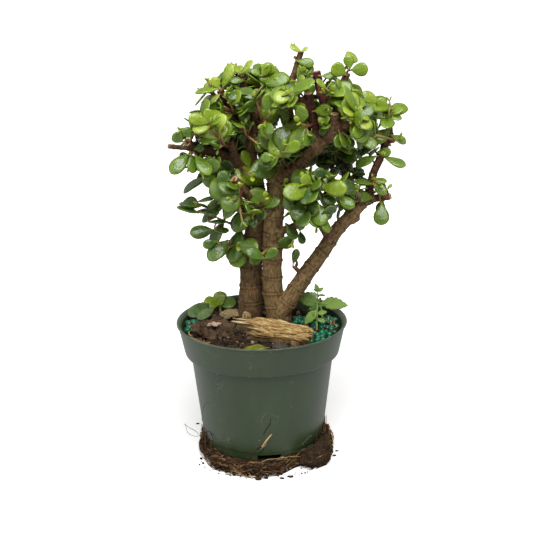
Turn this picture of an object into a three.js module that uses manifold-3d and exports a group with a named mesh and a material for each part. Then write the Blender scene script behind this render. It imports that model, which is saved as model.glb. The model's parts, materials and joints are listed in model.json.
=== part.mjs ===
// Potted dwarf jade: a pruned two-trunk shrub in a green nursery pot.
// Millimetres, +Z up. The origin is on the pot's axis, on the surface that the root mat lies on.
import * as THREE from 'three';
import { mergeVertices } from 'three/addons/utils/BufferGeometryUtils.js';
import Module from 'manifold-3d';

const wasm = await Module();
wasm.setup();

// Driving dimensions
const gap = 0.3;                // clearance between neighbouring pieces
const matHeight = 8.7;          // root mat under the pot
const potFoot = 9;              // height of the pot's foot above the surface
const potHeight = 121;
const rimRadius = 82.5;         // 165 mm across the lip
const footRadius = 58.7;
const bandHeight = 31.3;        // the straight band under the lip
const bandRadius = 75;          // at the bottom of the band
const bodyRadius = 69.3;        // just under the step
const wall = 1.2;
const lipWidth = 4.8;
const turns = 30;               // facets round the pot, the soil and the mat
const soilDepthBelowRim = 8.5;
const trunkHoleFloor = 84;      // how deep the trunks stand in the soil
const leafThickness = 2.3;
const leafAspect = 0.76;        // width over length
const leafGrowth = 1.04;
const internode = 8.5;          // stem between two pairs of leaves
const bud = 1.8;                // stem beyond the last pair
const leafClear = 4.1;          // between the mid planes of leaves on different sprays
const stemClear = 3.9;          // from a leaf's mid plane to another spray's stem
const limbClear = 2.8;          // from a leaf's mid plane to the bark

const rimTop = potFoot + potHeight;
const bandFoot = rimTop - bandHeight;
const soilLevel = rimTop - soilDepthBelowRim;
const { sin, cos, exp, floor, hypot, PI, min, abs, round } = Math;
const degrees = PI / 180;
const vec = (p) => new THREE.Vector3(...p);

// A repeatable draw between 0 and 1
const draw = (n) => {
  const s = sin(n * 12.9898 + 4.1414) * 43758.5453;
  return s - floor(s);
};

const colours = {
  pot: 0x4c5c46, soil: 0x2f2620, bark: 0x7a6346, leaf: 0x6f9c35, roots: 0x4b3524,
  clod: 0x2e2620, wood: 0xc3a66c, tan: 0xa08c63, crumb: 0x6b5949, stone: 0x3b3631, prill: 0x0d6b52,
  weed: 0x7fae4f, fallen: 0x7f9164, yellow: 0x87902a,
};

const group = new THREE.Group();
group.name = 'potted_jade_plant';

function addPart(name, solid, colour, roughness = 0.7) {
  const { vertProperties, triVerts } = solid.getMesh();
  const geometry = new THREE.BufferGeometry();
  geometry.setAttribute('position', new THREE.BufferAttribute(new Float32Array(vertProperties), 3));
  geometry.setIndex(new THREE.BufferAttribute(new Uint32Array(triVerts), 1));
  const flat = geometry.toNonIndexed();
  flat.computeVertexNormals();
  const material = new THREE.MeshStandardMaterial({ color: colour, roughness, metalness: 0 });
  const mesh = new THREE.Mesh(flat, material);
  mesh.name = name;
  group.add(mesh);
}

// Solids from closed geometries
function solidOf(geometry) {
  geometry.deleteAttribute('normal');
  geometry.deleteAttribute('uv');
  const merged = mergeVertices(geometry, 1e-4);
  return new wasm.Manifold(new wasm.Mesh({
    numProp: 3,
    vertProperties: new Float32Array(merged.attributes.position.array),
    triVerts: new Uint32Array(merged.index.array),
  }));
}
const union = (solids) => solids.reduce((all, one) => all.add(one));

// The largest connected piece of a solid, without the scraps that a cut leaves
function largest(solid) {
  const pieces = solid.decompose();
  return pieces.reduce((best, piece) => (piece.volume() > best.volume() ? piece : best));
}

function latheGeometry(profile) {
  const geometry = new THREE.LatheGeometry(profile.map(([r, z]) => new THREE.Vector2(r, z)), turns);
  geometry.rotateX(PI / 2);
  return geometry;
}
const lathe = (profile) => solidOf(latheGeometry(profile));

// A tapering limb: a cylinder bent along a curve, with a ridge at every second step where it has nodes
function limb(curve, startRadius, endRadius, sides, steps, ridge = 0, extra = 0) {
  const geometry = new THREE.CylinderGeometry(1, 1, 1, sides, steps);
  const frames = curve.computeFrenetFrames(steps, false);
  const position = geometry.attributes.position;
  for (let i = 0; i < position.count; i++) {
    const t = position.getY(i) + 0.5;
    const step = round(t * steps);
    const swell = step % 2 ? 1 - ridge : 1 + ridge;
    const radius = (startRadius + (endRadius - startRadius) * t) * swell + extra;
    const point = curve.getPointAt(t)
      .addScaledVector(frames.normals[step], position.getX(i) * radius)
      .addScaledVector(frames.binormals[step], -position.getZ(i) * radius);
    position.setXYZ(i, point.x, point.y, point.z);
  }
  return solidOf(geometry);
}

// The pot
const potOutside = [
  [footRadius - 2.2, potFoot], [footRadius, potFoot], [bodyRadius, bandFoot], [bandRadius, bandFoot],
  [rimRadius - 3.8, rimTop - 2], [rimRadius, rimTop - 1.4], [rimRadius - 0.6, rimTop],
];
const potInside = [
  [rimRadius - lipWidth, rimTop], [rimRadius - 5.2, rimTop - 1.4], [bandRadius - wall, bandFoot - wall],
  [bodyRadius - wall, bandFoot - wall], [footRadius - 0.6, potFoot + 4.2],
];
const potWall = lathe([
  [0, potFoot + 2.6], [footRadius - 3, potFoot + 2.6], ...potOutside, ...potInside, [0, potFoot + 4.2],
]);

// Four drain notches cut the foot, the first a little right of the front
const notch = { width: 19, height: 6.6, depth: 14, azimuth: -80 };
const notches = [0, 90, 180, 270].map((turn) => {
  const box = new THREE.BoxGeometry(notch.depth, notch.width, notch.height + 2);
  box.translate(footRadius, 0, potFoot + notch.height / 2 - 1);
  box.rotateZ((notch.azimuth + turn) * degrees);
  return solidOf(box);
});
addPart('pot', notches.reduce((body, cut) => body.subtract(cut), potWall), colours.pot, 0.5);

// Limbs of the two trunks: radius at each end and the route, from the soil upwards
const limbs = {
  trunkLeft: { solid: 'trunk_left', r: [10.4, 7.2], sides: 8, steps: 10, ridge: 0.045, route: [
    [-11, 24, trunkHoleFloor], [-11, 24, 122], [-9, 25, 160], [-9, 25, 181], [-5, 25, 206], [-3, 24, 230],
    [-5, 21, 273]] },
  trunkLeftTop: { solid: 'trunk_left', r: [6.6, 4.2], sides: 6, steps: 6, ridge: 0.05, route: [
    [-5, 21, 268], [-8, 18, 293], [-4, 15, 312], [-2, 12, 329], [1, 10, 350]] },
  armBack: { solid: 'trunk_left', r: [4.8, 3.6], sides: 6, steps: 4, route: [
    [-3, 24, 227], [-18, 32, 238], [-35, 37, 250], [-49, 40, 266], [-58, 42, 279]] },
  armLeft: { solid: 'trunk_left', r: [5.2, 4.2], sides: 7, steps: 4, route: [
    [-6, 21, 269], [-20, 12, 285], [-34, 5, 292], [-50, -2, 297], [-64, -8, 301]] },
  stubRing: { solid: 'trunk_left', r: [3.8, 4], sides: 6, steps: 1, route: [
    [-60, -6, 300], [-65, -17, 307]] },
  stubOrange: { solid: 'trunk_left', r: [3, 2.9], sides: 6, steps: 1, route: [
    [-60, -7, 299], [-83, -14, 303]] },
  armFore: { solid: 'trunk_left', r: [4.2, 3.2], sides: 7, steps: 4, route: [
    [-12, 17, 272], [-20, 8, 280], [-24, -2, 296], [-26, -8, 307]] },
  crownLeft: { solid: 'trunk_left', r: [4.2, 3.4], sides: 6, steps: 4, route: [
    [-8, 18, 293], [-17, 16, 312], [-25, 10, 330], [-31, 4, 344], [-35, 2, 351]] },
  crownBack: { solid: 'trunk_left', r: [4, 3.7], sides: 7, steps: 4, route: [
    [-4, 15, 313], [-8, 22, 328], [-10, 24, 343], [-14, 24, 359]] },
  trunkMid: { solid: 'trunk_right', r: [10.2, 8.8], sides: 8, steps: 10, ridge: 0.05, route: [
    [15, 12, trunkHoleFloor], [15, 11, 124], [13, 12, 140], [11, 12, 156], [12, 12, 211], [14, 12, 236],
    [17, 10, 273]] },
  armCut: { solid: 'trunk_right', r: [4, 3.7], sides: 5, steps: 3, route: [
    [10, 11, 233], [-2, 2, 244], [-11, -5, 255], [-23, -18, 273]] },
  armRight: { solid: 'trunk_right', r: [6.9, 4.9], sides: 7, steps: 6, ridge: 0.05, route: [
    [16, 10, 262], [30, 4, 274], [41, -3, 286], [51, -10, 299], [62, -16, 309], [71, -20, 317]] },
  stubUp: { solid: 'trunk_right', r: [4.3, 4.2], sides: 5, steps: 1, route: [
    [69, -20, 313], [68, -24, 332]] },
  stubRight: { solid: 'trunk_right', r: [4, 3.2], sides: 5, steps: 2, route: [
    [66, -19, 315], [77, -25, 321], [86, -28, 322]] },
  spire: { solid: 'trunk_right', r: [4.2, 2.7], sides: 5, steps: 5, ridge: 0.04, route: [
    [40, -2, 285], [35, 8, 303], [30, 16, 323], [28, 18, 344], [33, 16, 361], [40, 12, 384]] },
  stubDark: { solid: 'trunk_right', r: [4.8, 4.2], sides: 6, steps: 2, route: [
    [53, -11, 298], [51, -8, 318], [48, -10, 333], [45, -12, 349]] },
  stubRed: { solid: 'trunk_right', r: [4.4, 4], sides: 6, steps: 2, route: [
    [64, -16, 309], [63, -4, 328], [57, 2, 348], [53, 2, 367]] },
  stubLow: { solid: 'trunk_right', r: [3.9, 3.7], sides: 5, steps: 2, route: [
    [49, -9, 330], [38, -14, 341], [29, -18, 347]] },
  crownRight: { solid: 'trunk_right', r: [4.4, 3], sides: 5, steps: 3, route: [
    [70, -20, 315], [72, -12, 337], [75, -8, 353], [81, -8, 366]] },
  trunkRight: { solid: 'trunk_right', r: [8.4, 5.2], sides: 7, steps: 12, ridge: 0.05, route: [
    [15, 10, 126], [26, 8, 142], [36, 8, 158], [49, 9, 177], [62, 10, 195], [74, 12, 213], [88, 14, 228],
    [105, 18, 246]] },
  armOuter: { solid: 'trunk_right', r: [4.2, 3.2], sides: 5, steps: 5, ridge: 0.03, route: [
    [103, 17, 242], [105, 19, 256], [109, 20, 270], [115, 22, 283], [119, 23, 294], [123, 24, 304],
    [122, 25, 322]] },
  stubEnd: { solid: 'trunk_right', r: [3.9, 3.3], sides: 5, steps: 2, route: [
    [103, 18, 243], [114, 14, 246], [124, 10, 248]] },
  twigLow: { solid: 'trunk_right', r: [2.5, 2.1], sides: 5, steps: 1, route: [[43, 9, 168], [32, 3, 182]] },
  twigMid: { solid: 'trunk_right', r: [3.4, 2.8], sides: 5, steps: 1, route: [[68, 11, 202], [57, -1, 223]] },
  twigFront: { solid: 'trunk_right', r: [3.9, 2.6], sides: 6, steps: 4, route: [
    [14, 11, 213], [35, -2, 224], [43, -8, 229], [47, -12, 238], [49, -16, 251], [51, -19, 262]] },
  armRear: { solid: 'trunk_right', r: [5.4, 3.6], sides: 5, steps: 5, ridge: 0.03, route: [
    [88, 14, 228], [85, 30, 242], [84, 40, 260], [83, 44, 277], [85, 46, 296], [88, 44, 318]] },
  twigRear: { solid: 'trunk_right', r: [3.4, 2.8], sides: 5, steps: 2, route: [
    [84, 42, 268], [76, 52, 276], [69, 58, 267]] },
};
for (const one of Object.values(limbs)) {
  one.curve = new THREE.CatmullRomCurve3(one.route.map(vec), false, 'centripetal');
}
const limbSolid = (one, extra = 0) => (
  limb(one.curve, one.r[0], one.r[1], one.sides, one.steps, one.ridge ?? 0, extra));
const limbsOf = (name) => Object.values(limbs).filter((one) => one.solid === name);
const trunkLeft = union(limbsOf('trunk_left').map((one) => limbSolid(one)));
const trunkRight = union(limbsOf('trunk_right').map((one) => limbSolid(one)));
addPart('trunk_left', trunkLeft, colours.bark, 0.8);
addPart('trunk_right', trunkRight, colours.bark, 0.8);

// The soil fills the pot, with an uneven top that rises towards the trunks and at the back left
const soilTop = (x, y) => soilLevel + 1.3 * sin(x / 11 + 0.6) * cos(y / 9) + 0.7 * sin((x + y) / 6)
  + 2.4 * exp(-((x - 4) ** 2 + (y - 16) ** 2) / 900)
  + 6.4 * exp(-((x + 60) ** 2 + (y - 28) ** 2) / 420);
const soilRadii = [0, 26, 48, 68];
const soilEdge = rimRadius - 6.3;
function soilSolid(lift) {
  const geometry = latheGeometry([
    [0, potFoot + 4.6], [footRadius - 1.2, potFoot + 4.6], [bodyRadius - wall - 0.7, bandFoot - wall],
    [bandRadius - wall - 0.7, bandFoot - 0.4], [soilEdge, soilLevel],
    ...soilRadii.map((r) => [r, soilLevel]).reverse(),
  ]);
  const position = geometry.attributes.position;
  for (let i = 0; i < position.count; i++) {
    if (position.getZ(i) < soilLevel - 0.01) continue;
    position.setZ(i, soilTop(position.getX(i), position.getY(i)) + lift);
  }
  return solidOf(geometry);
}
const soilBody = soilSolid(0);
const soilRaised = soilSolid(gap);
const trunkHoles = union(
  ['trunkLeft', 'trunkMid', 'trunkRight'].map((name) => limbSolid(limbs[name], gap + 0.15)));

// Small plants stand in plain holes of their own: foot, height over the soil, lean, stem radius
const smallStems = {
  weedTall: { foot: [53, -8], height: 39, lean: [1, 0], r: 1.1 },
  weedLeafy: { foot: [60, 18], height: 17, lean: [-3, 4], r: 1.2 },
  seedling: { foot: [-42, 46], height: 7, lean: [0, -1], r: 1.4 },
};
const holeDepth = 12;
for (const stem of Object.values(smallStems)) {
  const [x, y] = stem.foot;
  const top = soilTop(x, y) + stem.height;
  stem.curve = new THREE.QuadraticBezierCurve3(
    vec([x, y, soilLevel - holeDepth]), vec([x, y, top - 0.4 * stem.height]),
    vec([x + stem.lean[0], y + stem.lean[1], top]));
}
const smallStemSolid = ({ curve, r }, extra = 0) => limb(curve, r, r * 0.7, 4, 3, 0, extra);
const stemHoles = union(Object.values(smallStems).map((stem) => smallStemSolid(stem, gap + 0.1)));
const trunkFeetRaised = union([trunkHoles, limbSolid(limbs.trunkRight, gap)]);
addPart('soil', soilBody.subtract(trunkHoles).subtract(stemHoles), colours.soil, 0.95);

// A fleshy obovate leaf: one outline round a raised middle, with a root that sinks right into its stem
const leafRing = [[0.42, 0.8], [0.84, 0.88]];
const leafSamples = [
  [0.28, 0], [0.45, -0.75], [0.45, 0], [0.45, 0.75], [0.66, -1], [0.66, -0.35], [0.66, 0.35], [0.66, 1],
  [0.86, -0.8], [0.86, 0], [0.86, 0.8], [1, 0]];
const droop = 0.1;              // how far the tip bends down, as a share of the length
const cup = 0.03;               // how far the sides curl up
function leafPoint(leaf, along, across, lift = 0) {
  const bend = leaf.length * (cup * across * across - droop * along * along) + lift;
  return leaf.root.clone().addScaledVector(leaf.direction, along * leaf.length)
    .addScaledVector(leaf.side, across * leaf.width / 2).addScaledVector(leaf.normal, bend);
}
function leafSolid(leaf) {
  const points = [leafPoint(leaf, 0, 0)];
  leafRing.forEach(([s, w]) => points.push(leafPoint(leaf, s, w)));
  points.push(leafPoint(leaf, 1, 0));
  [...leafRing].reverse().forEach(([s, w]) => points.push(leafPoint(leaf, s, -w)));
  points.push(leafPoint(leaf, 0.55, 0, leafThickness / 2), leafPoint(leaf, 0.55, 0, -leafThickness / 2));
  const [top, bottom] = [points.length - 2, points.length - 1];
  const index = [];
  for (let i = 0; i < top; i++) {
    const next = (i + 1) % top;
    index.push(top, next, i, bottom, i, next);
  }
  const geometry = new THREE.BufferGeometry();
  geometry.setAttribute('position', new THREE.Float32BufferAttribute(points.flatMap((p) => p.toArray()), 3));
  geometry.setIndex(index);
  return solidOf(geometry);
}

// Leafy sprays: the limb that carries them, how far along it, pairs of leaves, leaf length, and where the
// tips of the shoots stand. The first shoot grows from the limb and the others fork from it.
const sprays = [
  ['crownLeft', 0.94, 4, 17, [-45, -1, 359], [-24, 14, 368]],
  ['crownBack', 0.93, 2, 17, [-20, 26, 373]],
  ['crownBack', 0.50, 3, 17, [-8, 46, 357], [-24, 42, 350], [-24, 62, 333]],
  ['trunkLeftTop', 0.93, 4, 17, [6, 20, 367], [18, 30, 361]],
  ['trunkLeftTop', 0.66, 3, 20, [11, -26, 333], [-3, -16, 346]],
  ['trunkLeftTop', 0.46, 3, 16, [-13, -12, 322], [-1, -14, 304]],
  ['crownLeft', 0.62, 3, 18, [-25, -14, 341], [-47, 14, 335]],
  ['armFore', 0.93, 4, 19, [-35, -30, 321], [-51, -24, 330]],
  ['armLeft', 0.72, 3, 18, [-69, -20, 318]],
  ['armLeft', 0.80, 3, 20, [-69, -16, 283], [-51, -18, 279]],
  ['armLeft', 0.45, 4, 18, [-52, 34, 327]],
  ['armBack', 0.62, 3, 18, [-37, 62, 276], [-70, 60, 259], [-62, 66, 291]],
  ['armFore', 0.30, 3, 22, [-6, -30, 277]],
  ['armCut', 0.35, 3, 22, [6, -28, 257]],
  ['armCut', 0.75, 2, 22, [-26, -40, 258], [-16, -26, 234]],
  ['trunkLeft', 0.70, 4, 19, [-59, 8, 242]],
  ['trunkLeft', 0.63, 3, 21, [-38, -2, 199], [-21, -6, 206]],
  ['trunkMid', 0.62, 1, 15, [2, -14, 200]],
  ['armRight', 0.30, 3, 20, [23, -36, 306]],
  ['stubDark', 0.45, 4, 21, [36, -42, 327]],
  ['stubLow', 0.80, 4, 19, [30, -36, 350]],
  ['spire', 0.93, 2, 12, [32, 9, 389]],
  ['spire', 0.74, 3, 20, [43, -8, 360]],
  ['stubRed', 0.50, 4, 19, [66, -26, 351]],
  ['crownRight', 0.95, 3, 18, [83, -10, 376]],
  ['crownRight', 0.45, 4, 21, [82, 8, 340]],
  ['stubRight', 0.93, 4, 20, [86, -44, 336]],
  ['armOuter', 0.95, 3, 18, [122, 18, 337]],
  ['armRear', 0.95, 3, 20, [106, 34, 332], [91, 66, 322]],
  ['armOuter', 0.72, 3, 18, [131, 12, 303], [104, -2, 309], [117, 2, 292]],
  ['armRear', 0.65, 3, 19, [69, 22, 294]],
  ['twigRear', 0.85, 3, 18, [60, 66, 281], [90, 84, 276]],
  ['twigFront', 0.95, 3, 22, [51, -30, 271], [70, -22, 264]],
  ['twigFront', 0.68, 3, 20, [32, -26, 243], [58, -28, 238]],
  ['twigFront', 0.30, 2, 18, [30, -7, 208]],
  ['trunkRight', 0.93, 4, 18, [90, -12, 259]],
  ['armOuter', 0.25, 3, 17, [112, 0, 262], [115, 6, 236]],
  ['twigLow', 0.95, 1, 14, [32, 3, 192]],
  ['trunkLeftTop', 0.50, 3, 19, [3, 60, 312], [-21, 62, 298], [-14, 66, 262]],
  ['armRight', 0.55, 3, 19, [51, 40, 311], [32, 56, 283], [44, 62, 333]],
];
const shootRadius = 2.2;
const forkRadius = 1.8;
const tipRadius = 1.4;

const up = new THREE.Vector3(0, 0, 1);
const canopyAxis = [20, 15];

// The routes of a spray's shoots: the first starts just under the bark of the limb that carries it
const forkAt = 0.4;
function shootCurves([limbName, at, , , ...tips]) {
  const { curve, r } = limbs[limbName];
  const axis = curve.getPointAt(at);
  const tangent = curve.getTangentAt(at);
  const outward = vec(tips[0]).sub(axis);
  outward.addScaledVector(tangent, -outward.dot(tangent)).normalize();
  const radius = r[0] + (r[1] - r[0]) * at;
  const foot = axis.addScaledVector(outward, radius * 0.75);
  const first = new THREE.QuadraticBezierCurve3(
    foot, foot.clone().addScaledVector(outward, forkAt * foot.distanceTo(vec(tips[0]))), vec(tips[0]));
  const forks = tips.slice(1).map((tip) => {
    const start = first.getPoint(forkAt);
    const ahead = start.clone().addScaledVector(first.getTangent(forkAt), 0.3 * start.distanceTo(vec(tip)));
    return new THREE.QuadraticBezierCurve3(start, ahead, vec(tip));
  });
  return [first, ...forks];
}

// One leaf of a shoot: pair by pair up the stem, each pair a quarter turn on from the last
function leafAt(curve, pairs, size, pair, half, seed, turn, lean, scale) {
  const length = curve.getLength();
  const place = 1 - bud / length - (pairs - 1 - pair) * min(internode / length, 0.75 / pairs);
  const rise = pairs > 1 ? pair / (pairs - 1) : 0.6;
  const stem = curve.getTangent(place);
  const first = new THREE.Vector3().crossVectors(stem, abs(stem.z) > 0.9 ? vec([0, 1, 0]) : up).normalize();
  const second = new THREE.Vector3().crossVectors(stem, first);
  const azimuth = degrees
    * (seed * 37 + pair * 90 + half * 180 + 24 * (draw(seed + pair * 7 + half) - 0.5) + turn);
  const tilt = (8 + 34 * rise + 12 * (draw(seed * 3 + pair * 5 + half) - 0.5) + lean) * degrees;
  const radial = first.multiplyScalar(cos(azimuth)).addScaledVector(second, sin(azimuth));
  const direction = radial.clone().multiplyScalar(cos(tilt)).addScaledVector(stem, sin(tilt));
  const root = curve.getPoint(place);
  const light = vec([root.x - canopyAxis[0], root.y - canopyAxis[1], 0]).normalize().multiplyScalar(0.35)
    .add(vec([0, -0.6, 0.9]));
  const normal = stem.clone().multiplyScalar(cos(tilt)).addScaledVector(radial, -sin(tilt))
    .addScaledVector(light, 0.7);
  normal.addScaledVector(direction, -normal.dot(direction)).normalize();
  const leafLength = leafGrowth * size * scale * (1 - 0.22 * rise * rise)
    * (0.88 + 0.24 * draw(seed * 5 + pair * 3 + half));
  const width = leafLength * leafAspect * (0.92 + 0.16 * draw(seed * 11 + pair + half * 2));
  const side = new THREE.Vector3().crossVectors(normal, direction);
  return { root, direction, normal, side, length: leafLength, width };
}
const samplesOf = (leaf) => leafSamples.map(([s, w]) => leafPoint(leaf, s, w));

// Points along the limbs, which the leaves stay clear of
const limbPoints = Object.values(limbs).flatMap(({ curve, r }) => {
  const count = Math.ceil(curve.getLength() / 4);
  return Array.from({ length: count + 1 }, (_, i) => (
    { point: curve.getPointAt(i / count), radius: (r[0] + (r[1] - r[0]) * i / count) * 1.05 + limbClear }));
});

const routes = sprays.map(shootCurves);
const stemPoints = routes.flatMap((curves, owner) => curves.flatMap((curve) => (
  [0, 0.15, 0.3, 0.45, 0.6, 0.75, 0.9, 1].map((t) => ({ point: curve.getPoint(t), owner })))));
const placed = [];

function isClear(leaf, owner, shoot) {
  const samples = samplesOf(leaf);
  const middle = leafPoint(leaf, 0.5, 0);
  const reach = leaf.length * 0.62;
  for (const { point, radius } of limbPoints) {
    if (middle.distanceTo(point) > reach + radius) continue;
    if (samples.some((s) => s.distanceTo(point) < radius)) return false;
  }
  for (const stem of stemPoints) {
    if (stem.owner === owner || middle.distanceTo(stem.point) > reach + 4) continue;
    if (samples.some((s) => s.distanceTo(stem.point) < stemClear)) return false;
  }
  for (const other of placed) {
    if (middle.distanceTo(other.middle) > reach + other.reach + leafClear) continue;
    const near = other.owner === owner && other.shoot === shoot;
    const from = near ? 2 : 0;
    const clear = near ? leafClear * 0.8 : leafClear;
    if (samples.some((s, i) => i >= from
      && other.samples.some((o, j) => j >= from && s.distanceTo(o) < clear))) return false;
  }
  placed.push({ samples, middle, reach, owner, shoot });
  return true;
}

// A leaf that would touch another is turned, leaned or made smaller until it fits, or is left out
const trials = [
  [0, 0, 1], [14, 0, 1], [-14, 0, 1], [0, 14, 1], [0, -14, 1], [28, 8, 1], [-28, 8, 1], [0, 28, 0.9],
  [40, 0, 0.9], [-40, 0, 0.9], [20, 24, 0.8], [-20, 24, 0.8], [0, -24, 0.8], [0, 10, 0.68]];
sprays.forEach(([limbName, , pairs, size], number) => {
  const parts = [];
  routes[number].forEach((curve, shoot) => {
    parts.push(limb(curve, shoot ? forkRadius : shootRadius, tipRadius, 3, 2));
    for (let pair = pairs - 1; pair >= 0; pair--) {
      for (const half of [0, 1]) {
        const seed = number * 4 + shoot + 1;
        const leaf = trials.map((trial) => leafAt(curve, pairs, size, pair, half, seed, ...trial))
          .find((one) => isClear(one, number, shoot));
        if (leaf) parts.push(leafSolid(leaf));
      }
    }
  });
  const spray = largest(union(parts).subtract(limbSolid(limbs[limbName], gap)));
  addPart(`spray_${String(number + 1).padStart(2, '0')}`, spray, colours.leaf, 0.35);
});

// What lies on the soil is sunk a little into it, then cut clear of it and of the trunks
const aboveSoil = (solid) => largest(solid.subtract(soilRaised).subtract(trunkFeetRaised));

// A splintered chip of pale wood, its long outline seen from above
const chipOutline = [
  [-28, -9], [-22, 1], [-10, 3], [2, -3], [27, -5], [38, -14], [48, -34], [45, -48], [34, -53], [15, -42],
  [-4, -30], [-18, -23]];
const chipFoot = 119;
const chipHeight = 12;
function chipSolid() {
  const shape = new THREE.Shape(chipOutline.map(([x, y]) => new THREE.Vector2(x, y)));
  const geometry = new THREE.ExtrudeGeometry(shape, { depth: chipHeight, bevelEnabled: false });
  const position = geometry.attributes.position;
  for (let i = 0; i < position.count; i++) {
    const key = round(position.getX(i) * 3 + position.getY(i));
    const splinter = position.getZ(i) > 1 ? 3 * draw(key) - 1.5 : 0;
    position.setZ(i, chipFoot + position.getZ(i) + splinter);
  }
  return solidOf(geometry);
}
addPart('wood_chip', aboveSoil(chipSolid()), colours.wood, 0.85);

// Rounded lumps: a clod of bark and soil, a dark stone, and a flat tan flake
function lump([x, y, z], [rx, ry, rz], detail, roughness, turn = 0) {
  const geometry = new THREE.IcosahedronGeometry(1, detail);
  const position = geometry.attributes.position;
  for (let i = 0; i < position.count; i++) {
    const p = new THREE.Vector3().fromBufferAttribute(position, i);
    const key = round(p.x * 50) + round(p.y * 50) * 3 + round(p.z * 50) * 7;
    p.multiplyScalar(1 + roughness * (draw(key) - 0.5)).multiply(vec([rx, ry, rz]))
      .applyAxisAngle(up, turn * degrees).add(vec([x, y, z]));
    position.setXYZ(i, p.x, p.y, p.z);
  }
  return solidOf(geometry);
}
addPart('bark_clod', aboveSoil(lump([-47, -9, 121], [19, 21, 8.5], 1, 0.2)), colours.crumb, 0.95);
addPart('dark_stone', aboveSoil(lump([17, -59, 123], [7.5, 5.5, 4.5], 1, 0.15)), colours.stone, 0.8);
addPart('tan_chip', aboveSoil(lump([-33, 31, 123.5], [11, 7, 2.6], 1, 0.35, 20)), colours.tan, 0.9);

// Round fertiliser prills, heaped in four spots so that each heap is one body
const prillRadius = 2.9;
function heap(x, y, count, spreadX, spreadY, key) {
  const balls = [];
  for (let i = 0; i < count; i++) {
    const along = count > 1 ? i / (count - 1) - 0.5 : 0;
    const ball = new THREE.OctahedronGeometry(prillRadius, 0);
    const px = x + along * spreadX;
    const py = y + along * spreadY + 1.6 * (draw(key + i) - 0.5);
    ball.translate(px, py, soilTop(px, py) + 1.1 + 0.6 * draw(key + i + 9));
    balls.push(solidOf(ball));
  }
  return union(balls);
}
const heaps = [[-70, -4, 4, 4, 9, 3], [40, 12, 4, 8, -6, 21], [68, 14, 4, 8, -6, 40], [55, -36, 3, 3, 6, 60]];
heaps.forEach((row, i) => addPart(`prills_${i + 1}`, aboveSoil(heap(...row)), colours.prill, 0.35));

// Small plants that have seeded themselves: a stem in the soil and a few leaves
function plainLeaf(root, direction, normal, length, width) {
  const d = vec(direction).normalize();
  const n = vec(normal);
  n.addScaledVector(d, -n.dot(d)).normalize();
  const side = new THREE.Vector3().crossVectors(n, d);
  return { root: vec(root), direction: d, normal: n, side, length, width };
}
function weed(stem, leaves) {
  return union([smallStemSolid(stem), ...leaves.map(([t, direction, normal, length, width]) => (
    leafSolid(plainLeaf(stem.curve.getPoint(t).toArray(), direction, normal, length, width))))]);
}
const front = [0, -0.8, 0.6];
addPart('weed_tall', weed(smallStems.weedTall, [
  [0.99, [-0.3, 0, 1], front, 8, 5], [0.97, [0.8, 0, 0.7], front, 7, 4], [0.9, [-1, -0.2, 0.2], front, 7, 4],
  [0.88, [1, -0.3, 0.1], [0, -0.3, 1], 8, 4.5], [0.6, [-1, -0.2, 0.4], front, 9, 5],
  [0.58, [1, -0.2, 0.3], [0, -0.4, 1], 10, 5],
]), colours.weed, 0.5);
addPart('weed_leafy', weed(smallStems.weedLeafy, [
  [0.98, [-1, 0.1, 0.15], [0.1, -0.9, 0.7], 19, 15], [0.96, [1, -0.1, -0.05], [0.1, -0.7, 0.8], 24, 15],
  [0.85, [-0.9, -0.5, -0.1], [0, -0.7, 0.7], 13, 9],
]), colours.weed, 0.5);
addPart('seedling', weed(smallStems.seedling, [
  [0.98, [-0.9, -0.2, 0.35], [0.1, -0.7, 0.75], 15, 13], [0.96, [0, 0.3, 0.9], [0, -1, 0.3], 13, 13],
  [0.9, [0.95, -0.2, 0.35], [-0.1, -0.7, 0.75], 16, 14],
]), colours.leaf, 0.4);

// Shed leaves lie on the soil, from root to tip
function shed(from, to, width, tilt) {
  const [root, tip] = [from, to].map(([x, y]) => vec([x, y, soilTop(x, y) + 1]));
  const along = tip.clone().sub(root);
  const leaf = plainLeaf(root.toArray(), along.toArray(), tilt, along.length(), width);
  return aboveSoil(leafSolid(leaf));
}
addPart('fallen_leaf_1', shed([-53, 44], [-67, 24], 12, [0.1, -0.3, 1]), colours.fallen, 0.6);
addPart('fallen_leaf_2', shed([-46, 26], [-56, 10], 8.5, [0.1, -0.2, 1]), colours.fallen, 0.6);
addPart('yellow_leaf', shed([4, -64], [-15, -63], 9, [0, -0.3, 1]), colours.yellow, 0.6);

// The mat of roots and spilt soil that the pot stands on: radius by azimuth from +X, in 12 equal steps
const matReach = [61, 61, 61, 62, 62, 63, 64, 70, 77, 75, 62, 60];
const matEdge = new THREE.CatmullRomCurve3(
  matReach.map((r, i) => vec([r * cos(i * PI / 6), r * sin(i * PI / 6), 0])), true, 'centripetal');
const edgeByAngle = Array.from({ length: 144 }, (_, i) => matEdge.getPoint(i / 144))
  .map((p) => [(Math.atan2(p.y, p.x) / (2 * PI) + 1) % 1, hypot(p.x, p.y)]);
function matRadius(angle) {
  const share = (angle / (2 * PI) + 1) % 1;
  const distance = (a) => min(abs(a - share), 1 - abs(a - share));
  return edgeByAngle.reduce((best, one) => (distance(one[0]) < distance(best[0]) ? one : best))[1];
}
function matSolid(lift = 0) {
  const geometry = latheGeometry([
    [0, 0], [0.6, 0], [0.97, 0], [1, 2.2 + lift], [0.955, 5.5 + lift], [0.9, matHeight + lift],
    [0, matHeight + lift]]);
  const position = geometry.attributes.position;
  for (let i = 0; i < position.count; i++) {
    const [x, y, z] = [position.getX(i), position.getY(i), position.getZ(i)];
    const angle = Math.atan2(y, x);
    const reach = matRadius(angle) * (1 + 0.025 * (draw(round(angle * 20)) - 0.5)) + lift;
    position.setXYZ(i, x * reach, y * reach, z);
  }
  return solidOf(geometry);
}
addPart('root_mat', matSolid(), colours.roots, 0.95);

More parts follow.
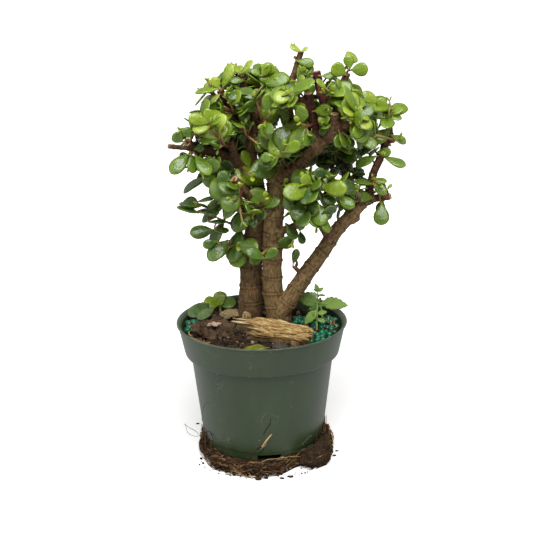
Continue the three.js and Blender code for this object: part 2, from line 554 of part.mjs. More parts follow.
// A clod of rooted soil that leans on the pot at the right
const clodRoute = [[40, -54, 6], [50, -50, 8], [61, -39, 10], [67, -26, 11], [69, -12, 15], [67, -3, 19]];
const clodCurve = new THREE.CatmullRomCurve3(clodRoute.map(vec), false, 'centripetal');
const potSolid = lathe([
  [0, potFoot - gap], [footRadius + gap, potFoot - gap], [bodyRadius + gap, bandFoot], [0, bandFoot]]);
const floorBlock = new THREE.BoxGeometry(400, 400, 40);
floorBlock.translate(0, 0, -20);
const clod = union([
  limb(clodCurve, 7, 4, 6, 4, 0.06), lump([50, -50, 7], [17, 12, 12], 1, 0.2, 40),
  lump([64, -32, 8], [15, 9, 13], 1, 0.2, 65)]);
addPart('root_clod', largest(clod.subtract(potSolid).subtract(matSolid(gap)).subtract(solidOf(floorBlock))),
  colours.clod, 0.95);

export default group;
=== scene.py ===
# A potted dwarf jade: a pruned shrub with two trunks in a green nursery pot
import json
import math
import bpy
import numpy as np
from mathutils import Matrix, Vector, kdtree, noise

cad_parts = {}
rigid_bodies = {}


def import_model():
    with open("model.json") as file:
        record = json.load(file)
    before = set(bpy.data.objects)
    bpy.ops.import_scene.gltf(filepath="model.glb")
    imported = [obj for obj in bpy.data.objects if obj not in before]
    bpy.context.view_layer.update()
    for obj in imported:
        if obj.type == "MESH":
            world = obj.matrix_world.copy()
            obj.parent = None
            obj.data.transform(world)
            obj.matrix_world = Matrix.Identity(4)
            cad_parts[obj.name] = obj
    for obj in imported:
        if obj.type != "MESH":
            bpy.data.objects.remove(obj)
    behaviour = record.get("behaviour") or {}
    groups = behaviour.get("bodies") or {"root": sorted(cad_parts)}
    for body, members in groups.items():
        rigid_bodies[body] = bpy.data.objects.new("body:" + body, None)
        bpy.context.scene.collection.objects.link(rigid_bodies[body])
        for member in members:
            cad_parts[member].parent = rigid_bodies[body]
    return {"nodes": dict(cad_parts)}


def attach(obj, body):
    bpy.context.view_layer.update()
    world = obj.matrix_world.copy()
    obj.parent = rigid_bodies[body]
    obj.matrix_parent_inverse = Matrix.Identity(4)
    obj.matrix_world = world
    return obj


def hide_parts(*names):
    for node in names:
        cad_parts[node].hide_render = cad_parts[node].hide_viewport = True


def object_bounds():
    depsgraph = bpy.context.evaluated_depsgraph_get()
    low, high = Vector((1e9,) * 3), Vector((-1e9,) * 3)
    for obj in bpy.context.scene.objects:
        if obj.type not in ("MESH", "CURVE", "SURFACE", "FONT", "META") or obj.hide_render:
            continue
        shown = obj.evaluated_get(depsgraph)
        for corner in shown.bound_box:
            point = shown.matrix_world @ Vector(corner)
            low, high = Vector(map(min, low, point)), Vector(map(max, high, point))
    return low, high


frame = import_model()
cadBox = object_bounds()
scene = bpy.context.scene
mm = 0.001
print("frame loaded:", len(frame["nodes"]), "nodes")


# numbers, curves, meshes and nodes

def draw(key):  # a repeatable number between 0 and 1
    wave = math.sin(key * 12.9898 + 4.1414) * 43758.5453
    return wave - math.floor(wave)


def vec(*numbers):
    return np.array(numbers[0] if len(numbers) == 1 else numbers, float)


def unit(v):
    return v / max(float(np.linalg.norm(v)), 1e-9)


def smoothstep(low, high, value):
    share = np.clip((value - low) / (high - low), 0, 1)
    return share * share * (3 - 2 * share)


def rough(point, size, key=0.0):  # smooth noise between about -1 and 1; size in the units of point
    return noise.noise(Vector((point[0] / size + key, point[1] / size - key, point[2] / size + 0.5 * key)))


def measured(pointOf):  # a curve with its length, and points and directions on it
    steps = np.linspace(0, 1, 201)
    table = np.array([pointOf(t) for t in steps])
    lengths = np.concatenate(([0], np.cumsum(np.linalg.norm(np.diff(table, axis=0), axis=1))))
    nudge = 1e-4

    def tangentOf(t):
        return unit(pointOf(min(t + nudge, 1)) - pointOf(max(t - nudge, 0)))

    def timeAt(share):
        return float(np.interp(share * lengths[-1], lengths, steps))

    return {"point": pointOf, "tangent": tangentOf, "timeAt": timeAt, "length": float(lengths[-1])}


def routeCurve(route):  # a centripetal Catmull-Rom curve through the route
    knots = [vec(p) for p in route]

    def pointOf(t):
        place = (len(knots) - 1) * t
        index = min(int(place), len(knots) - 2)
        share = place - index
        b, c = knots[index], knots[index + 1]
        a = knots[index - 1] if index else 2 * b - c
        d = knots[index + 2] if index + 2 < len(knots) else 2 * c - b
        ab, bc, cd = (np.linalg.norm(q - p) ** 0.5 for p, q in ((a, b), (b, c), (c, d)))
        start = ((b - a) / ab - (c - a) / (ab + bc) + (c - b) / bc) * bc
        end = ((c - b) / bc - (d - b) / (bc + cd) + (d - c) / cd) * bc
        return (b + start * share + (3 * (c - b) - 2 * start - end) * share ** 2
                + (2 * (b - c) + start + end) * share ** 3)

    return measured(pointOf)


def bowCurve(start, middle, end):
    def pointOf(t):
        return start * (1 - t) ** 2 + middle * 2 * t * (1 - t) + end * t * t
    return measured(pointOf)


def sideOf(direction):  # a level side of a direction
    return unit(np.cross(direction, vec(0, 1, 0) if abs(direction[2]) > 0.9 else vec(0, 0, 1)))


def turnedFrames(points):  # a direction and two sides at each point, without twist
    points = np.asarray(points, float)
    ahead = np.gradient(points, axis=0)
    ahead /= np.linalg.norm(ahead, axis=1)[:, None]
    first, firsts = sideOf(ahead[0]), []
    for direction in ahead:
        first = unit(first - direction * first.dot(direction))
        firsts.append(first)
    firsts = np.array(firsts)
    return ahead, firsts, np.cross(ahead, firsts)


def tube(points, radii, sides):  # a closed tube, as (points, faces)
    points = np.asarray(points, float)
    ahead, firsts, seconds = turnedFrames(points)
    angles = np.arange(sides) * 2 * math.pi / sides
    rings = [p + r * (np.cos(a) * f + np.sin(a) * s)
             for p, r, f, s in zip(points, radii, firsts, seconds) for a in angles]
    faces = [(i + j, i + k, i + sides + k, i + sides + j) for i in range(0, sides * (len(points) - 1), sides)
             for j, k in ((j, (j + 1) % sides) for j in range(sides))]
    last = (len(points) - 1) * sides
    faces += [tuple(range(sides - 1, -1, -1)), tuple(range(last, last + sides))]
    return rings, faces, {}


def circle(radius, z, count):
    angles = [i * 2 * math.pi / count for i in range(count)]
    return [(radius * math.cos(a), radius * math.sin(a), z) for a in angles]


# a closed body of revolution; the profile runs from axis to axis, outside first
def lathe(profile, segments):
    inner, around = profile[1:-1], [(j, (j + 1) % segments) for j in range(segments)]
    points = [place for r, z in inner for place in circle(r, z, segments)]
    points += [(0, 0, profile[0][1]), (0, 0, profile[-1][1])]
    last = (len(inner) - 1) * segments
    faces = [(a + j, a + k, a + segments + k, a + segments + j)
             for a in range(0, last, segments) for j, k in around]
    for j, k in around:
        faces += [(len(points) - 2, k, j), (len(points) - 1, last + j, last + k)]
    return points, faces, {}


def addObject(name, data):
    piece = bpy.data.objects.new(name, data)
    scene.collection.objects.link(piece)
    return piece


def setSmooth(mesh, smooth=True):
    mesh.polygons.foreach_set("use_smooth", [smooth] * len(mesh.polygons))


def meshPiece(name, parts, smooth=True):  # one object from (points, faces, values) in millimetres
    points, faces, values = [], [], {}
    for partPoints, partFaces, partValues in parts:
        start = len(points)
        points += [tuple(p) for p in partPoints]
        faces += [tuple(start + i for i in face) for face in partFaces]
        for key, numbers in partValues.items():
            values.setdefault(key, {})[start] = numbers
    mesh = bpy.data.meshes.new(name)
    mesh.from_pydata((np.array(points) * mm).tolist(), [], faces)
    for key, blocks in values.items():
        first = np.asarray(next(iter(blocks.values())), float)
        data = np.zeros((len(points), 3 if first.ndim == 2 else 1))
        for start, numbers in blocks.items():
            data[start:start + len(numbers)] = np.reshape(numbers, (len(numbers), -1))
        setValues(mesh, key, data)
    setSmooth(mesh, smooth)
    mesh.update()
    return addObject(name, mesh)


def setValues(mesh, key, numbers):  # a value or a vector for each vertex
    numbers = np.asarray(numbers, float).reshape(len(mesh.vertices), -1)
    vector = numbers.shape[1] == 3
    if key in mesh.attributes:
        mesh.attributes.remove(mesh.attributes[key])
    attribute = mesh.attributes.new(key, "FLOAT_VECTOR" if vector else "FLOAT", "POINT")
    attribute.data.foreach_set("vector" if vector else "value", numbers.ravel())


def vertexPlaces(mesh):  # places and outward directions of the vertices, places in millimetres
    places = np.zeros(len(mesh.vertices) * 3)
    mesh.vertices.foreach_get("co", places)
    normals = np.zeros(len(mesh.vertices) * 3)
    mesh.vertex_normals.foreach_get("vector", normals)
    return places.reshape(-1, 3) / mm, normals.reshape(-1, 3)


def setPlaces(mesh, places):
    mesh.vertices.foreach_set("co", (np.asarray(places) * mm).ravel())
    mesh.update()


def applied(piece):  # the piece with its modifiers made plain mesh
    graph = bpy.context.evaluated_depsgraph_get()
    mesh = bpy.data.meshes.new_from_object(
        piece.evaluated_get(graph), preserve_all_data_layers=True, depsgraph=graph)
    old = piece.data
    piece.modifiers.clear()
    piece.data = mesh
    mesh.name = piece.name
    bpy.data.meshes.remove(old)
    return piece


def connect(tree, value, socket):  # a socket is linked, anything else is set
    if isinstance(value, bpy.types.NodeSocket):
        tree.links.new(value, socket)
    else:
        socket.default_value = value


def soften(piece, voxel, passes):  # lumps and tubes become one skin
    skin = piece.modifiers.new("skin", "REMESH")
    skin.mode, skin.voxel_size = "VOXEL", voxel * mm
    soft = piece.modifiers.new("soften", "SMOOTH")
    soft.factor, soft.iterations = 0.5, passes
    applied(piece)
    setSmooth(piece.data)
    return piece


def put(tree, kind, values=None, **settings):  # a node with its settings and its inputs
    node = tree.nodes.new(kind)
    for key, value in settings.items():
        setattr(node, key, value)
    for key, value in (values or {}).items():
        connect(tree, value, node.inputs[key])
    return node


def made(tree, kind, values=None, **settings):
    return put(tree, kind, values, **settings).outputs[0]


def maths(tree, operation, a, b=0.0, clamp=False):
    return made(tree, "ShaderNodeMath", {0: a, 1: b}, operation=operation, use_clamp=clamp)


def times(tree, a, b, clamp=False):
    return maths(tree, "MULTIPLY", a, b, clamp)


def newTree(name, kind, inputs, outputs):  # a node group with named sockets
    tree = bpy.data.node_groups.new(name, kind)
    for direction, sockets in (("INPUT", inputs), ("OUTPUT", outputs)):
        for label, socketType, *start in sockets:
            socket = tree.interface.new_socket(label, in_out=direction, socket_type="NodeSocket" + socketType)
            if start:
                socket.default_value = start[0]
    return tree, put(tree, "NodeGroupInput").outputs, put(tree, "NodeGroupOutput").inputs


def grow(piece, tree, settings):  # a Geometry Nodes modifier with its inputs set, made plain mesh
    modifier = piece.modifiers.new(tree.name, "NODES")
    modifier.node_group = tree
    sockets = {item.name: item.identifier for item in tree.interface.items_tree if item.in_out == "INPUT"}
    for label, value in settings.items():
        modifier[sockets[label]] = value
    return applied(piece)


# inside the model's box, a piece stands for these nodes and rides on the body
def handOver(piece, slot, *nodes, skin=None):
    if skin:
        piece.data.materials.append(skin)
    low, high = (vec(corner) / mm for corner in cadBox)
    setPlaces(piece.data, np.clip(vertexPlaces(piece.data)[0], low + 0.01, high - 0.01))
    if nodes:
        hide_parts(*nodes)
    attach(piece, "root")


# camera
cameraSetup = {"place": (5.4, -938.9, 460.8), "pitch": 16.46, "roll": -0.851,
               "focalPixels": 1025, "imagePixels": 533, "sensor": 36}


def cameraAxes():
    pitch, roll = math.radians(cameraSetup["pitch"]), math.radians(cameraSetup["roll"])
    ahead = vec(0, math.cos(pitch), -math.sin(pitch))
    level, rise = vec(1, 0, 0), vec(0, math.sin(pitch), math.cos(pitch))
    across = level * math.cos(roll) + rise * math.sin(roll)
    return across, rise * math.cos(roll) - level * math.sin(roll), ahead


viewRight, viewUp, viewAhead = cameraAxes()
viewFrom = vec(cameraSetup["place"])
photoMiddle, focal = cameraSetup["imagePixels"] / 2, cameraSetup["focalPixels"]


def inPhoto(points):  # pixel across, pixel down and depth in millimetres of each point
    offset = np.asarray(points, float) - viewFrom
    depth = offset @ viewAhead
    return np.stack([photoMiddle + focal * (offset @ viewRight) / depth,
                     photoMiddle - focal * (offset @ viewUp) / depth, depth], axis=-1)


def fromPhoto(x, y, depth):  # the point seen at a pixel, at a depth
    offset = viewRight * (x - photoMiddle) + viewUp * (photoMiddle - y)
    return viewFrom + depth * (viewAhead + offset / focal)


def addCamera():
    data = bpy.data.cameras.new("camera")
    data.sensor_width = cameraSetup["sensor"]
    data.lens = focal / cameraSetup["imagePixels"] * cameraSetup["sensor"]
    data.clip_end = 100
    camera = addObject("camera", data)
    turn = Matrix((Vector(viewRight), Vector(viewUp), -Vector(viewAhead))).transposed().to_4x4()
    camera.matrix_world = Matrix.Translation(Vector(cameraSetup["place"]) * mm) @ turn
    scene.camera = camera


# shader groups shared by several materials

def srgb(*values):  # a colour picked on screen, 0 to 255, as Blender's linear colour
    linear = [v / 255 / 12.92 if v <= 10 else ((v / 255 + 0.055) / 1.055) ** 2.4 for v in values]
    return (*linear, 1)


def screen(value):  # three numbers from 0 to 255 are a colour picked on screen
    return srgb(*value) if isinstance(value, tuple) and len(value) == 3 else value


def mixColour(tree, factor, a, b, blend="MIX"):
    return put(tree, "ShaderNodeMix", {0: factor, 6: screen(a), 7: screen(b)},
               data_type="RGBA", blend_type=blend).outputs[2]


def layered(tree, colour, *layers):  # (mask, weight, colour) laid over a colour, one after another
    for mask, weight, paint in layers:
        colour = mixColour(tree, times(tree, mask, weight), colour, paint)
    return colour


def ramp(tree, factor, *stops):  # (place, value or colour) pairs
    node = put(tree, "ShaderNodeValToRGB", {0: factor})
    elements = node.color_ramp.elements
    while len(elements) < len(stops):
        elements.new(0.5)
    for element, (place, colour) in zip(elements, stops):
        element.position = place
        element.color = screen(colour) if isinstance(colour, tuple) else (colour, colour, colour, 1)
    return node.outputs[0]


def attribute(tree, name, output="Fac"):
    return put(tree, "ShaderNodeAttribute", attribute_name=name).outputs[output]


def objectCoords(tree):
    found = [node for node in tree.nodes if node.bl_idname == "ShaderNodeTexCoord"]
    return (found[0] if found else put(tree, "ShaderNodeTexCoord")).outputs["Object"]


def mottleGroup():  # cloudy patches between 0 and 1
    tree, given, out = newTree("mottle", "ShaderNodeTree", [
        ("Vector", "Vector"), ("Scale", "Float", 100.0), ("Detail", "Float", 4.0), ("Low", "Float", 0.4),
        ("High", "Float", 0.6), ("Warp", "Float", 0.3)], [("Mask", "Float"), ("Height", "Float")])
    clouds = made(tree, "ShaderNodeTexNoise", {
        "Vector": given["Vector"], "Scale": given["Scale"], "Detail": given["Detail"], "Roughness": 0.6,
        "Distortion": given["Warp"]})
    mask = put(tree, "ShaderNodeMapRange", {"Value": clouds, 1: given["Low"], 2: given["High"]})
    tree.links.new(mask.outputs[0], out["Mask"])
    tree.links.new(clouds, out["Height"])
    return tree


def speckGroup():  # scattered round specks
    tree, given, out = newTree("specks", "ShaderNodeTree", [
        ("Vector", "Vector"), ("Scale", "Float", 200.0), ("Size", "Float", 0.2), ("Share", "Float", 0.5)],
        [("Mask", "Float")])
    cells = put(tree, "ShaderNodeTexVoronoi", {"Vector": given["Vector"], "Scale": given["Scale"]})
    near = maths(tree, "LESS_THAN", cells.outputs["Distance"], given["Size"])
    tone = made(tree, "ShaderNodeSeparateColor", {0: cells.outputs["Color"]})
    chosen = maths(tree, "LESS_THAN", tone, given["Share"])
    tree.links.new(times(tree, near, chosen), out["Mask"])
    return tree


def fibreGroup():  # streaks that run along the third coordinate
    tree, given, out = newTree("fibres", "ShaderNodeTree", [
        ("Vector", "Vector"), ("Across", "Float", 400.0), ("Along", "Float", 40.0),
        ("Contrast", "Float", 0.25)],
        [("Mask", "Float"), ("Height", "Float")])
    squeeze = made(tree, "ShaderNodeCombineXYZ", {
        0: given["Across"], 1: given["Across"], 2: given["Along"]})
    place = made(tree, "ShaderNodeVectorMath", {0: given["Vector"], 1: squeeze}, operation="MULTIPLY")
    streaks = made(tree, "ShaderNodeTexNoise", {
        "Vector": place, "Scale": 1.0, "Detail": 5.0, "Roughness": 0.62, "Distortion": 0.5})
    low = maths(tree, "SUBTRACT", 0.5, given["Contrast"])
    high = maths(tree, "ADD", 0.5, given["Contrast"])
    mask = put(tree, "ShaderNodeMapRange", {"Value": streaks, 1: low, 2: high})
    tree.links.new(mask.outputs[0], out["Mask"])
    tree.links.new(streaks, out["Height"])
    return tree


mottle = mottleGroup()
specks = speckGroup()
fibres = fibreGroup()


def useGroup(tree, group, values, output="Mask"):
    return put(tree, "ShaderNodeGroup", values, node_tree=group).outputs[output]


def cloud(tree, scale, low=0.35, high=0.65, coords=None):  # cloudy patches
    coords = objectCoords(tree) if coords is None else coords
    return useGroup(tree, mottle, {"Vector": coords, "Scale": scale, "Low": low, "High": high})


def grain(tree, scale, detail=4.0):  # a rough height
    return useGroup(tree, mottle, {"Vector": objectCoords(tree), "Scale": scale, "Detail": detail}, "Height")


def dots(tree, scale, size, share):  # scattered specks
    values = {"Vector": objectCoords(tree), "Scale": scale, "Size": size, "Share": share}
    return useGroup(tree, specks, values)


def axisOf(tree, vector, index):
    return put(tree, "ShaderNodeSeparateXYZ", {0: vector}).outputs[index]


def newMaterial(name, build):  # build fills the Principled shader's inputs
    material = bpy.data.materials.new(name)
    material.use_nodes = True
    tree = material.node_tree
    tree.nodes.clear()
    shader = put(tree, "ShaderNodeBsdfPrincipled")
    tree.links.new(shader.outputs[0], put(tree, "ShaderNodeOutputMaterial").inputs[0])
    for key, value in build(tree).items():
        connect(tree, value, shader.inputs[key])
    return material


def bump(tree, height, distance, strength):
    return made(tree, "ShaderNodeBump", {"Height": height, "Distance": distance, "Strength": strength})


def skinInputs(tree, colour, roughness, specular, height, depth, strength):
    return {"Base Color": colour, "Roughness": roughness, "Specular IOR Level": specular,
            "Normal": bump(tree, height, depth, strength)}


# Geometry Nodes shared by shoots, weeds, roots and hairs

def twigTree():  # lines become round twigs, and points with a leafLength carry a leaf
    tree, given, out = newTree("leafyTwigs", "GeometryNodeTree", [
        ("Geometry", "Geometry"), ("Leaf", "Object"), ("Sides", "Int", 7), ("Twig Material", "Material"),
        ("Leaf Material", "Material")], [("Geometry", "Geometry")])

    def stored(name, kind="FLOAT"):
        node = put(tree, "GeometryNodeInputNamedAttribute", {"Name": name}, data_type=kind)
        return node.outputs["Attribute"]

    line = made(tree, "GeometryNodeMeshToCurve", {"Mesh": given["Geometry"]})
    line = made(tree, "GeometryNodeSetCurveRadius", {"Curve": line, "Radius": stored("twigRadius")})
    ring = made(tree, "GeometryNodeCurvePrimitiveCircle", {"Resolution": given["Sides"], "Radius": 1.0})
    sweep = put(tree, "GeometryNodeCurveToMesh", {"Curve": line, "Profile Curve": ring, "Fill Caps": True})
    if "Scale" in sweep.inputs:
        tree.links.new(stored("twigRadius"), sweep.inputs["Scale"])
    twigs = made(tree, "GeometryNodeSetMaterial", {
        "Geometry": sweep.outputs[0], "Material": given["Twig Material"]})

    leaf = put(tree, "GeometryNodeObjectInfo", {"Object": given["Leaf"]}).outputs["Geometry"]
    carries = put(tree, "FunctionNodeCompare", {0: stored("leafLength"), 1: 0.0}, operation="GREATER_THAN")
    turn = made(tree, "FunctionNodeEulerToRotation", {0: stored("leafTurn", "FLOAT_VECTOR")})
    leaves = made(tree, "GeometryNodeInstanceOnPoints", {
        "Points": given["Geometry"], "Selection": carries.outputs[0], "Instance": leaf, "Rotation": turn,
        "Scale": stored("leafSize", "FLOAT_VECTOR")})
    leaves = made(tree, "GeometryNodeRealizeInstances", {"Geometry": leaves})
    along, across, length = stored("leafAlong"), stored("leafAcross"), stored("leafLength")
    droop = times(tree, times(tree, along, along), stored("leafDroop"))
    cup = times(tree, times(tree, across, across), stored("leafCup"))
    wave = times(tree, maths(tree, "SINE", times(tree, along, 6.0)),
                 times(tree, across, stored("leafTwist")))
    lift = maths(tree, "ADD", maths(tree, "SUBTRACT", cup, droop), wave)
    bend = put(tree, "ShaderNodeVectorMath", {
        0: stored("leafNormal", "FLOAT_VECTOR"), "Scale": times(tree, lift, length)}, operation="SCALE")
    leaves = made(tree, "GeometryNodeSetPosition", {"Geometry": leaves, "Offset": bend.outputs[0]})
    leaves = made(tree, "GeometryNodeSetMaterial", {
        "Geometry": leaves, "Material": given["Leaf Material"]})
    joined = put(tree, "GeometryNodeJoinGeometry").inputs[0]
    tree.links.new(leaves, joined)
    tree.links.new(twigs, joined)
    smooth = made(tree, "GeometryNodeSetShadeSmooth", {"Geometry": joined.node.outputs[0]})
    tree.links.new(smooth, out["Geometry"])
    return tree


leafyTwigs = twigTree()


def blankLeaf(name, stations, corners, serration=0.0):
    # one leaf of length 1 and half width 1 with a closed skin; each station is (along, half width, thickness)
    points, along, across = [], [], []
    for number, (s, w, t) in enumerate(stations):
        bite = 1 - serration * (number % 2)
        for k in range(corners):
            a = k * 2 * math.pi / corners
            points.append((math.cos(a) * w * (bite if k in (0, corners // 2) else 1), s, math.sin(a) * t))
            along.append(s)
            across.append(math.cos(a) * w)
    faces = [(i * corners + k, i * corners + (k + 1) % corners, (i + 1) * corners + (k + 1) % corners,
              (i + 1) * corners + k) for i in range(len(stations) - 1) for k in range(corners)]
    faces = [face[::-1] for face in faces]
    last = (len(stations) - 1) * corners
    faces += [tuple(range(corners)), tuple(range(last + corners - 1, last - 1, -1))]
    leaf = meshPiece(name, [(points, faces, {})])
    leaf.data.transform(Matrix.Scale(1 / mm, 4))
    setValues(leaf.data, "leafAlong", along)
    setValues(leaf.data, "leafAcross", across)
    return leaf


def twigsAndLeaves(name, lines, leaves, leafShape, sides, twigMaterial, leafMaterial):
    # lines: (points, radii, tone); leaves: dictionaries of root, direction, normal and sizes, in millimetres
    points, edges, radii, along, tones = [], [], [], [], []
    for route, widths, tone in lines:
        edges += [(len(points) + i, len(points) + i + 1) for i in range(len(route) - 1)]
        points += [tuple(place) for place in route]
        radii += [width * mm for width in widths]
        along += [i / (len(route) - 1) for i in range(len(route))]
        tones += [tone] * len(route)
    values = {"twigRadius": radii, "twigAlong": along, "twigTone": tones}
    widthOf = {"leafLength": 1, "leafShade": 1, "leafDroop": 1, "leafCup": 1, "leafTwist": 1, "leafTurn": 3,
               "leafSize": 3, "leafNormal": 3}
    rows = []
    for leaf in leaves:
        side = unit(np.cross(leaf["direction"], leaf["normal"]))
        normal = np.cross(side, leaf["direction"])
        turn = Matrix((Vector(side), Vector(leaf["direction"]), Vector(normal))).transposed().to_euler()
        size = (leaf["width"] / 2 * mm, leaf["length"] * mm, leaf["thickness"] / 2 * mm)
        rows.append((leaf["length"] * mm, leaf["shade"], leaf["droop"], leaf["cup"], leaf["twist"],
                     tuple(turn), size, tuple(normal)))
    mesh = bpy.data.meshes.new(name)
    mesh.from_pydata((np.array(points + [tuple(leaf["root"]) for leaf in leaves]) * mm).tolist(), edges, [])
    for key, numbers in values.items():
        setValues(mesh, key, numbers + [0.0] * len(leaves))
    for column, (key, width) in enumerate(widthOf.items()):
        grown = np.array([row[column] for row in rows], float).reshape(-1, width)
        setValues(mesh, key, np.concatenate((np.zeros((len(points), width)), grown)))
    return grow(addObject(name, mesh), leafyTwigs, {
        "Leaf": leafShape, "Sides": sides, "Twig Material": twigMaterial, "Leaf Material": leafMaterial})


# the two trunks
trunk = {"voxel": 0.8, "soften": 3, "sides": 20, "fissureDepth": 0.42, "lumpSize": 9, "lumpDepth": 0.5,
         "ringHeight": 0.8, "ringWidth": 1.9, "ringGroove": 0.85, "wound": (-10, 13, 155), "woundReach": 6.5,
         "branchesFrom": 100,
         "stout": {"trunkLeft": (1.26, (-0.7, 0, 0)), "trunkRight": (1.1, (-1.9, 0, 0.6)),
                   "stubOrange": (0.75, (0, 0, 0))}}

# Each trunk's limbs, the trunk first: radius at both ends, how young the bark is (0 brown to 1 maroon), how
# dark (partly the bark's own tone, partly painted shade on limbs deep in the crown), how far apart its rings
# are, how its end is cut, and its route
limbTables = {
    "trunk_left": {
        "trunkLeft": (10.4, 7.2, 0.2, 0.62, 16, "", [(-11, 24, 84), (-11, 24, 122), (-9, 25, 160),
            (-9, 25, 181), (-5, 25, 206), (-3, 24, 230), (-5, 21, 273)]),
        "trunkLeftTop": (6.6, 4.2, 0.3, 0.75, 15, "pale", [(-5, 21, 268), (-8, 18, 293),
            (-4, 15, 312), (-2, 12, 329), (1, 10, 350)]),
        "armBack": (4.8, 3.6, 0.6, 0.8, 13, "", [(-3, 24, 227), (-18, 32, 238), (-35, 37, 250),
            (-49, 40, 266), (-58, 42, 279)]),
        "armLeft": (5.2, 4.2, 0.55, 0.6, 12, "", [(-6, 21, 269), (-20, 12, 285), (-34, 5, 292),
            (-50, -2, 297), (-64, -8, 301)]),
        "stubRing": (3.8, 4, 0.5, 0.8, 9, "hollow", [(-60, -6, 300), (-65, -17, 307)]),
        "stubOrange": (3, 2.9, 0.35, 0.0, 8, "orange", [(-60, -7, 299), (-83, -14, 303)]),
        "armFore": (4.2, 3.2, 0.5, 0.7, 10, "", [(-12, 17, 272), (-20, 8, 280), (-24, -2, 296),
            (-26, -8, 307)]),
        "crownLeft": (4.2, 3.4, 0.8, 0.6, 11, "pale", [(-8, 18, 293), (-17, 16, 312), (-25, 10, 330),
            (-31, 4, 344), (-35, 2, 351)]),
        "crownBack": (4, 3.7, 0.85, 0.6, 11, "pale", [(-4, 15, 313), (-8, 22, 328), (-10, 24, 343),
            (-14, 24, 359)])},
    "trunk_right": {
        "trunkMid": (10.2, 8.8, 0.0, 0.1, 15, "", [(15, 12, 84), (15, 11, 124), (13, 12, 140),
            (11, 12, 156), (12, 12, 211), (14, 12, 236), (17, 10, 273)]),
        "armCut": (4, 3.7, 0.35, 0.45, 11, "pale", [(10, 11, 233), (-2, 2, 244), (-11, -5, 255),
            (-23, -18, 273)]),
        "armRight": (6.9, 4.9, 0.35, 0.25, 14, "", [(16, 10, 262), (30, 4, 274), (41, -3, 286),
            (51, -10, 299), (62, -16, 309), (71, -20, 317)]),
        "stubUp": (4.3, 4.2, 0.45, 0.35, 9, "pale", [(69, -20, 313), (68, -24, 332)]),
        "stubRight": (4, 3.2, 0.8, 0.1, 9, "pale", [(66, -19, 315), (77, -25, 321), (86, -28, 322)]),
        "spire": (4.2, 2.7, 0.35, 0.35, 11, "pale", [(40, -2, 285), (35, 8, 303), (30, 16, 323),
            (28, 18, 344), (33, 16, 361), (40, 12, 384)]),
        "stubDark": (4.8, 4.2, 0.95, 0.85, 12, "dark", [(53, -11, 298), (51, -8, 318),
            (48, -10, 333), (45, -12, 349)]),
        "stubRed": (4.4, 4, 1.0, 0.3, 13, "pale", [(64, -16, 309), (63, -4, 328), (57, 2, 348),
            (53, 2, 367)]),
        "stubLow": (3.9, 3.7, 0.9, 0.5, 10, "pale", [(49, -9, 330), (38, -14, 341), (29, -18, 347)]),
        "crownRight": (4.4, 3, 0.7, 0.2, 12, "pale", [(70, -20, 315), (72, -12, 337), (75, -8, 353),
            (81, -8, 366)]),
        "trunkRight": (8.4, 5.2, 0.06, 0.15, 15, "", [(15, 10, 126), (26, 8, 142), (36, 8, 158),
            (49, 9, 177), (62, 10, 195), (74, 12, 213), (88, 14, 228), (105, 18, 246)]),
        "armOuter": (4.2, 3.2, 0.8, 0.5, 13, "pale", [(103, 17, 242), (105, 19, 256), (109, 20, 270),
            (115, 22, 283), (119, 23, 294), (123, 24, 304), (122, 25, 322)]),
        "stubEnd": (3.9, 3.3, 0.6, 0.2, 9, "pale", [(103, 18, 243), (114, 14, 246), (124, 10, 248)]),
        "twigLow": (2.5, 2.1, 0.5, 0.3, 8, "pale", [(43, 9, 168), (32, 3, 182)]),
        "twigMid": (3.4, 2.8, 0.5, 0.3, 9, "pale", [(68, 11, 202), (57, -1, 223)]),
        "twigFront": (3.9, 2.6, 0.6, 0.55, 11, "pale", [(14, 11, 213), (35, -2, 224), (43, -8, 229),
            (47, -12, 238), (49, -16, 251), (51, -19, 262)]),
        "armRear": (5.4, 3.6, 0.5, 0.6, 14, "pale", [(88, 14, 228), (85, 30, 242), (84, 40, 260),
            (83, 44, 277), (85, 46, 296), (88, 44, 318)]),
        "twigRear": (3.4, 2.8, 0.6, 0.6, 10, "pale", [(84, 42, 268), (76, 52, 276), (69, 58, 267)])}}
# Swellings where limbs part: place and radius
knuckles = {
    "trunk_left": [((-5, 21, 270), 8.4), ((-58, -5, 299), 5.4), ((-7, 18, 294), 6.2), ((-3, 14, 314), 5.6)],
    "trunk_right": [((17, 10, 270), 11.2), ((15, 9, 279), 8.4), ((52, -10, 299), 7.4), ((66, -18, 313), 7.4),
                    ((17, 11, 127), 11.6), ((41, -2, 285), 6.4), ((104, 17, 245), 6.0), ((88, 14, 228), 7.2),
                    ((14, 10, 212), 9.6), ((13, 10, 234), 9.6)]}

limbs = {}
for node, table in limbTables.items():
    for name, (low, high, young, dark, spacing, cut, route) in table.items():
        limbs[name] = {"name": name, "node": node, "r": (low, high), "young": young, "dark": dark,
                       "spacing": spacing, "cut": cut, "curve": routeCurve(route)}


def limbAt(one, share):  # point, direction and radius at a share of the limb's length
    time = one["curve"]["timeAt"](share)
    low, high = one["r"]
    return one["curve"]["point"](time), one["curve"]["tangent"](time), low + (high - low) * share


def limbStations():  # samples along every limb, with frames, for the bark to read
    stations = {"trunk_left": [], "trunk_right": []}
    for number, one in enumerate(limbs.values()):
        count = max(int(one["curve"]["length"]), 6)
        rows = [limbAt(one, i / count) for i in range(count + 1)]
        one["line"] = [row[0] for row in rows]
        one["radii"] = [row[2] for row in rows]
        ahead, firsts, seconds = turnedFrames(one["line"])
        for i, (point, _, radius) in enumerate(rows):
            stations[one["node"]].append({
                "limb": one, "number": number, "place": point, "ahead": ahead[i], "first": firsts[i],
                "second": seconds[i], "radius": radius, "along": i / count * one["curve"]["length"]})
    return stations


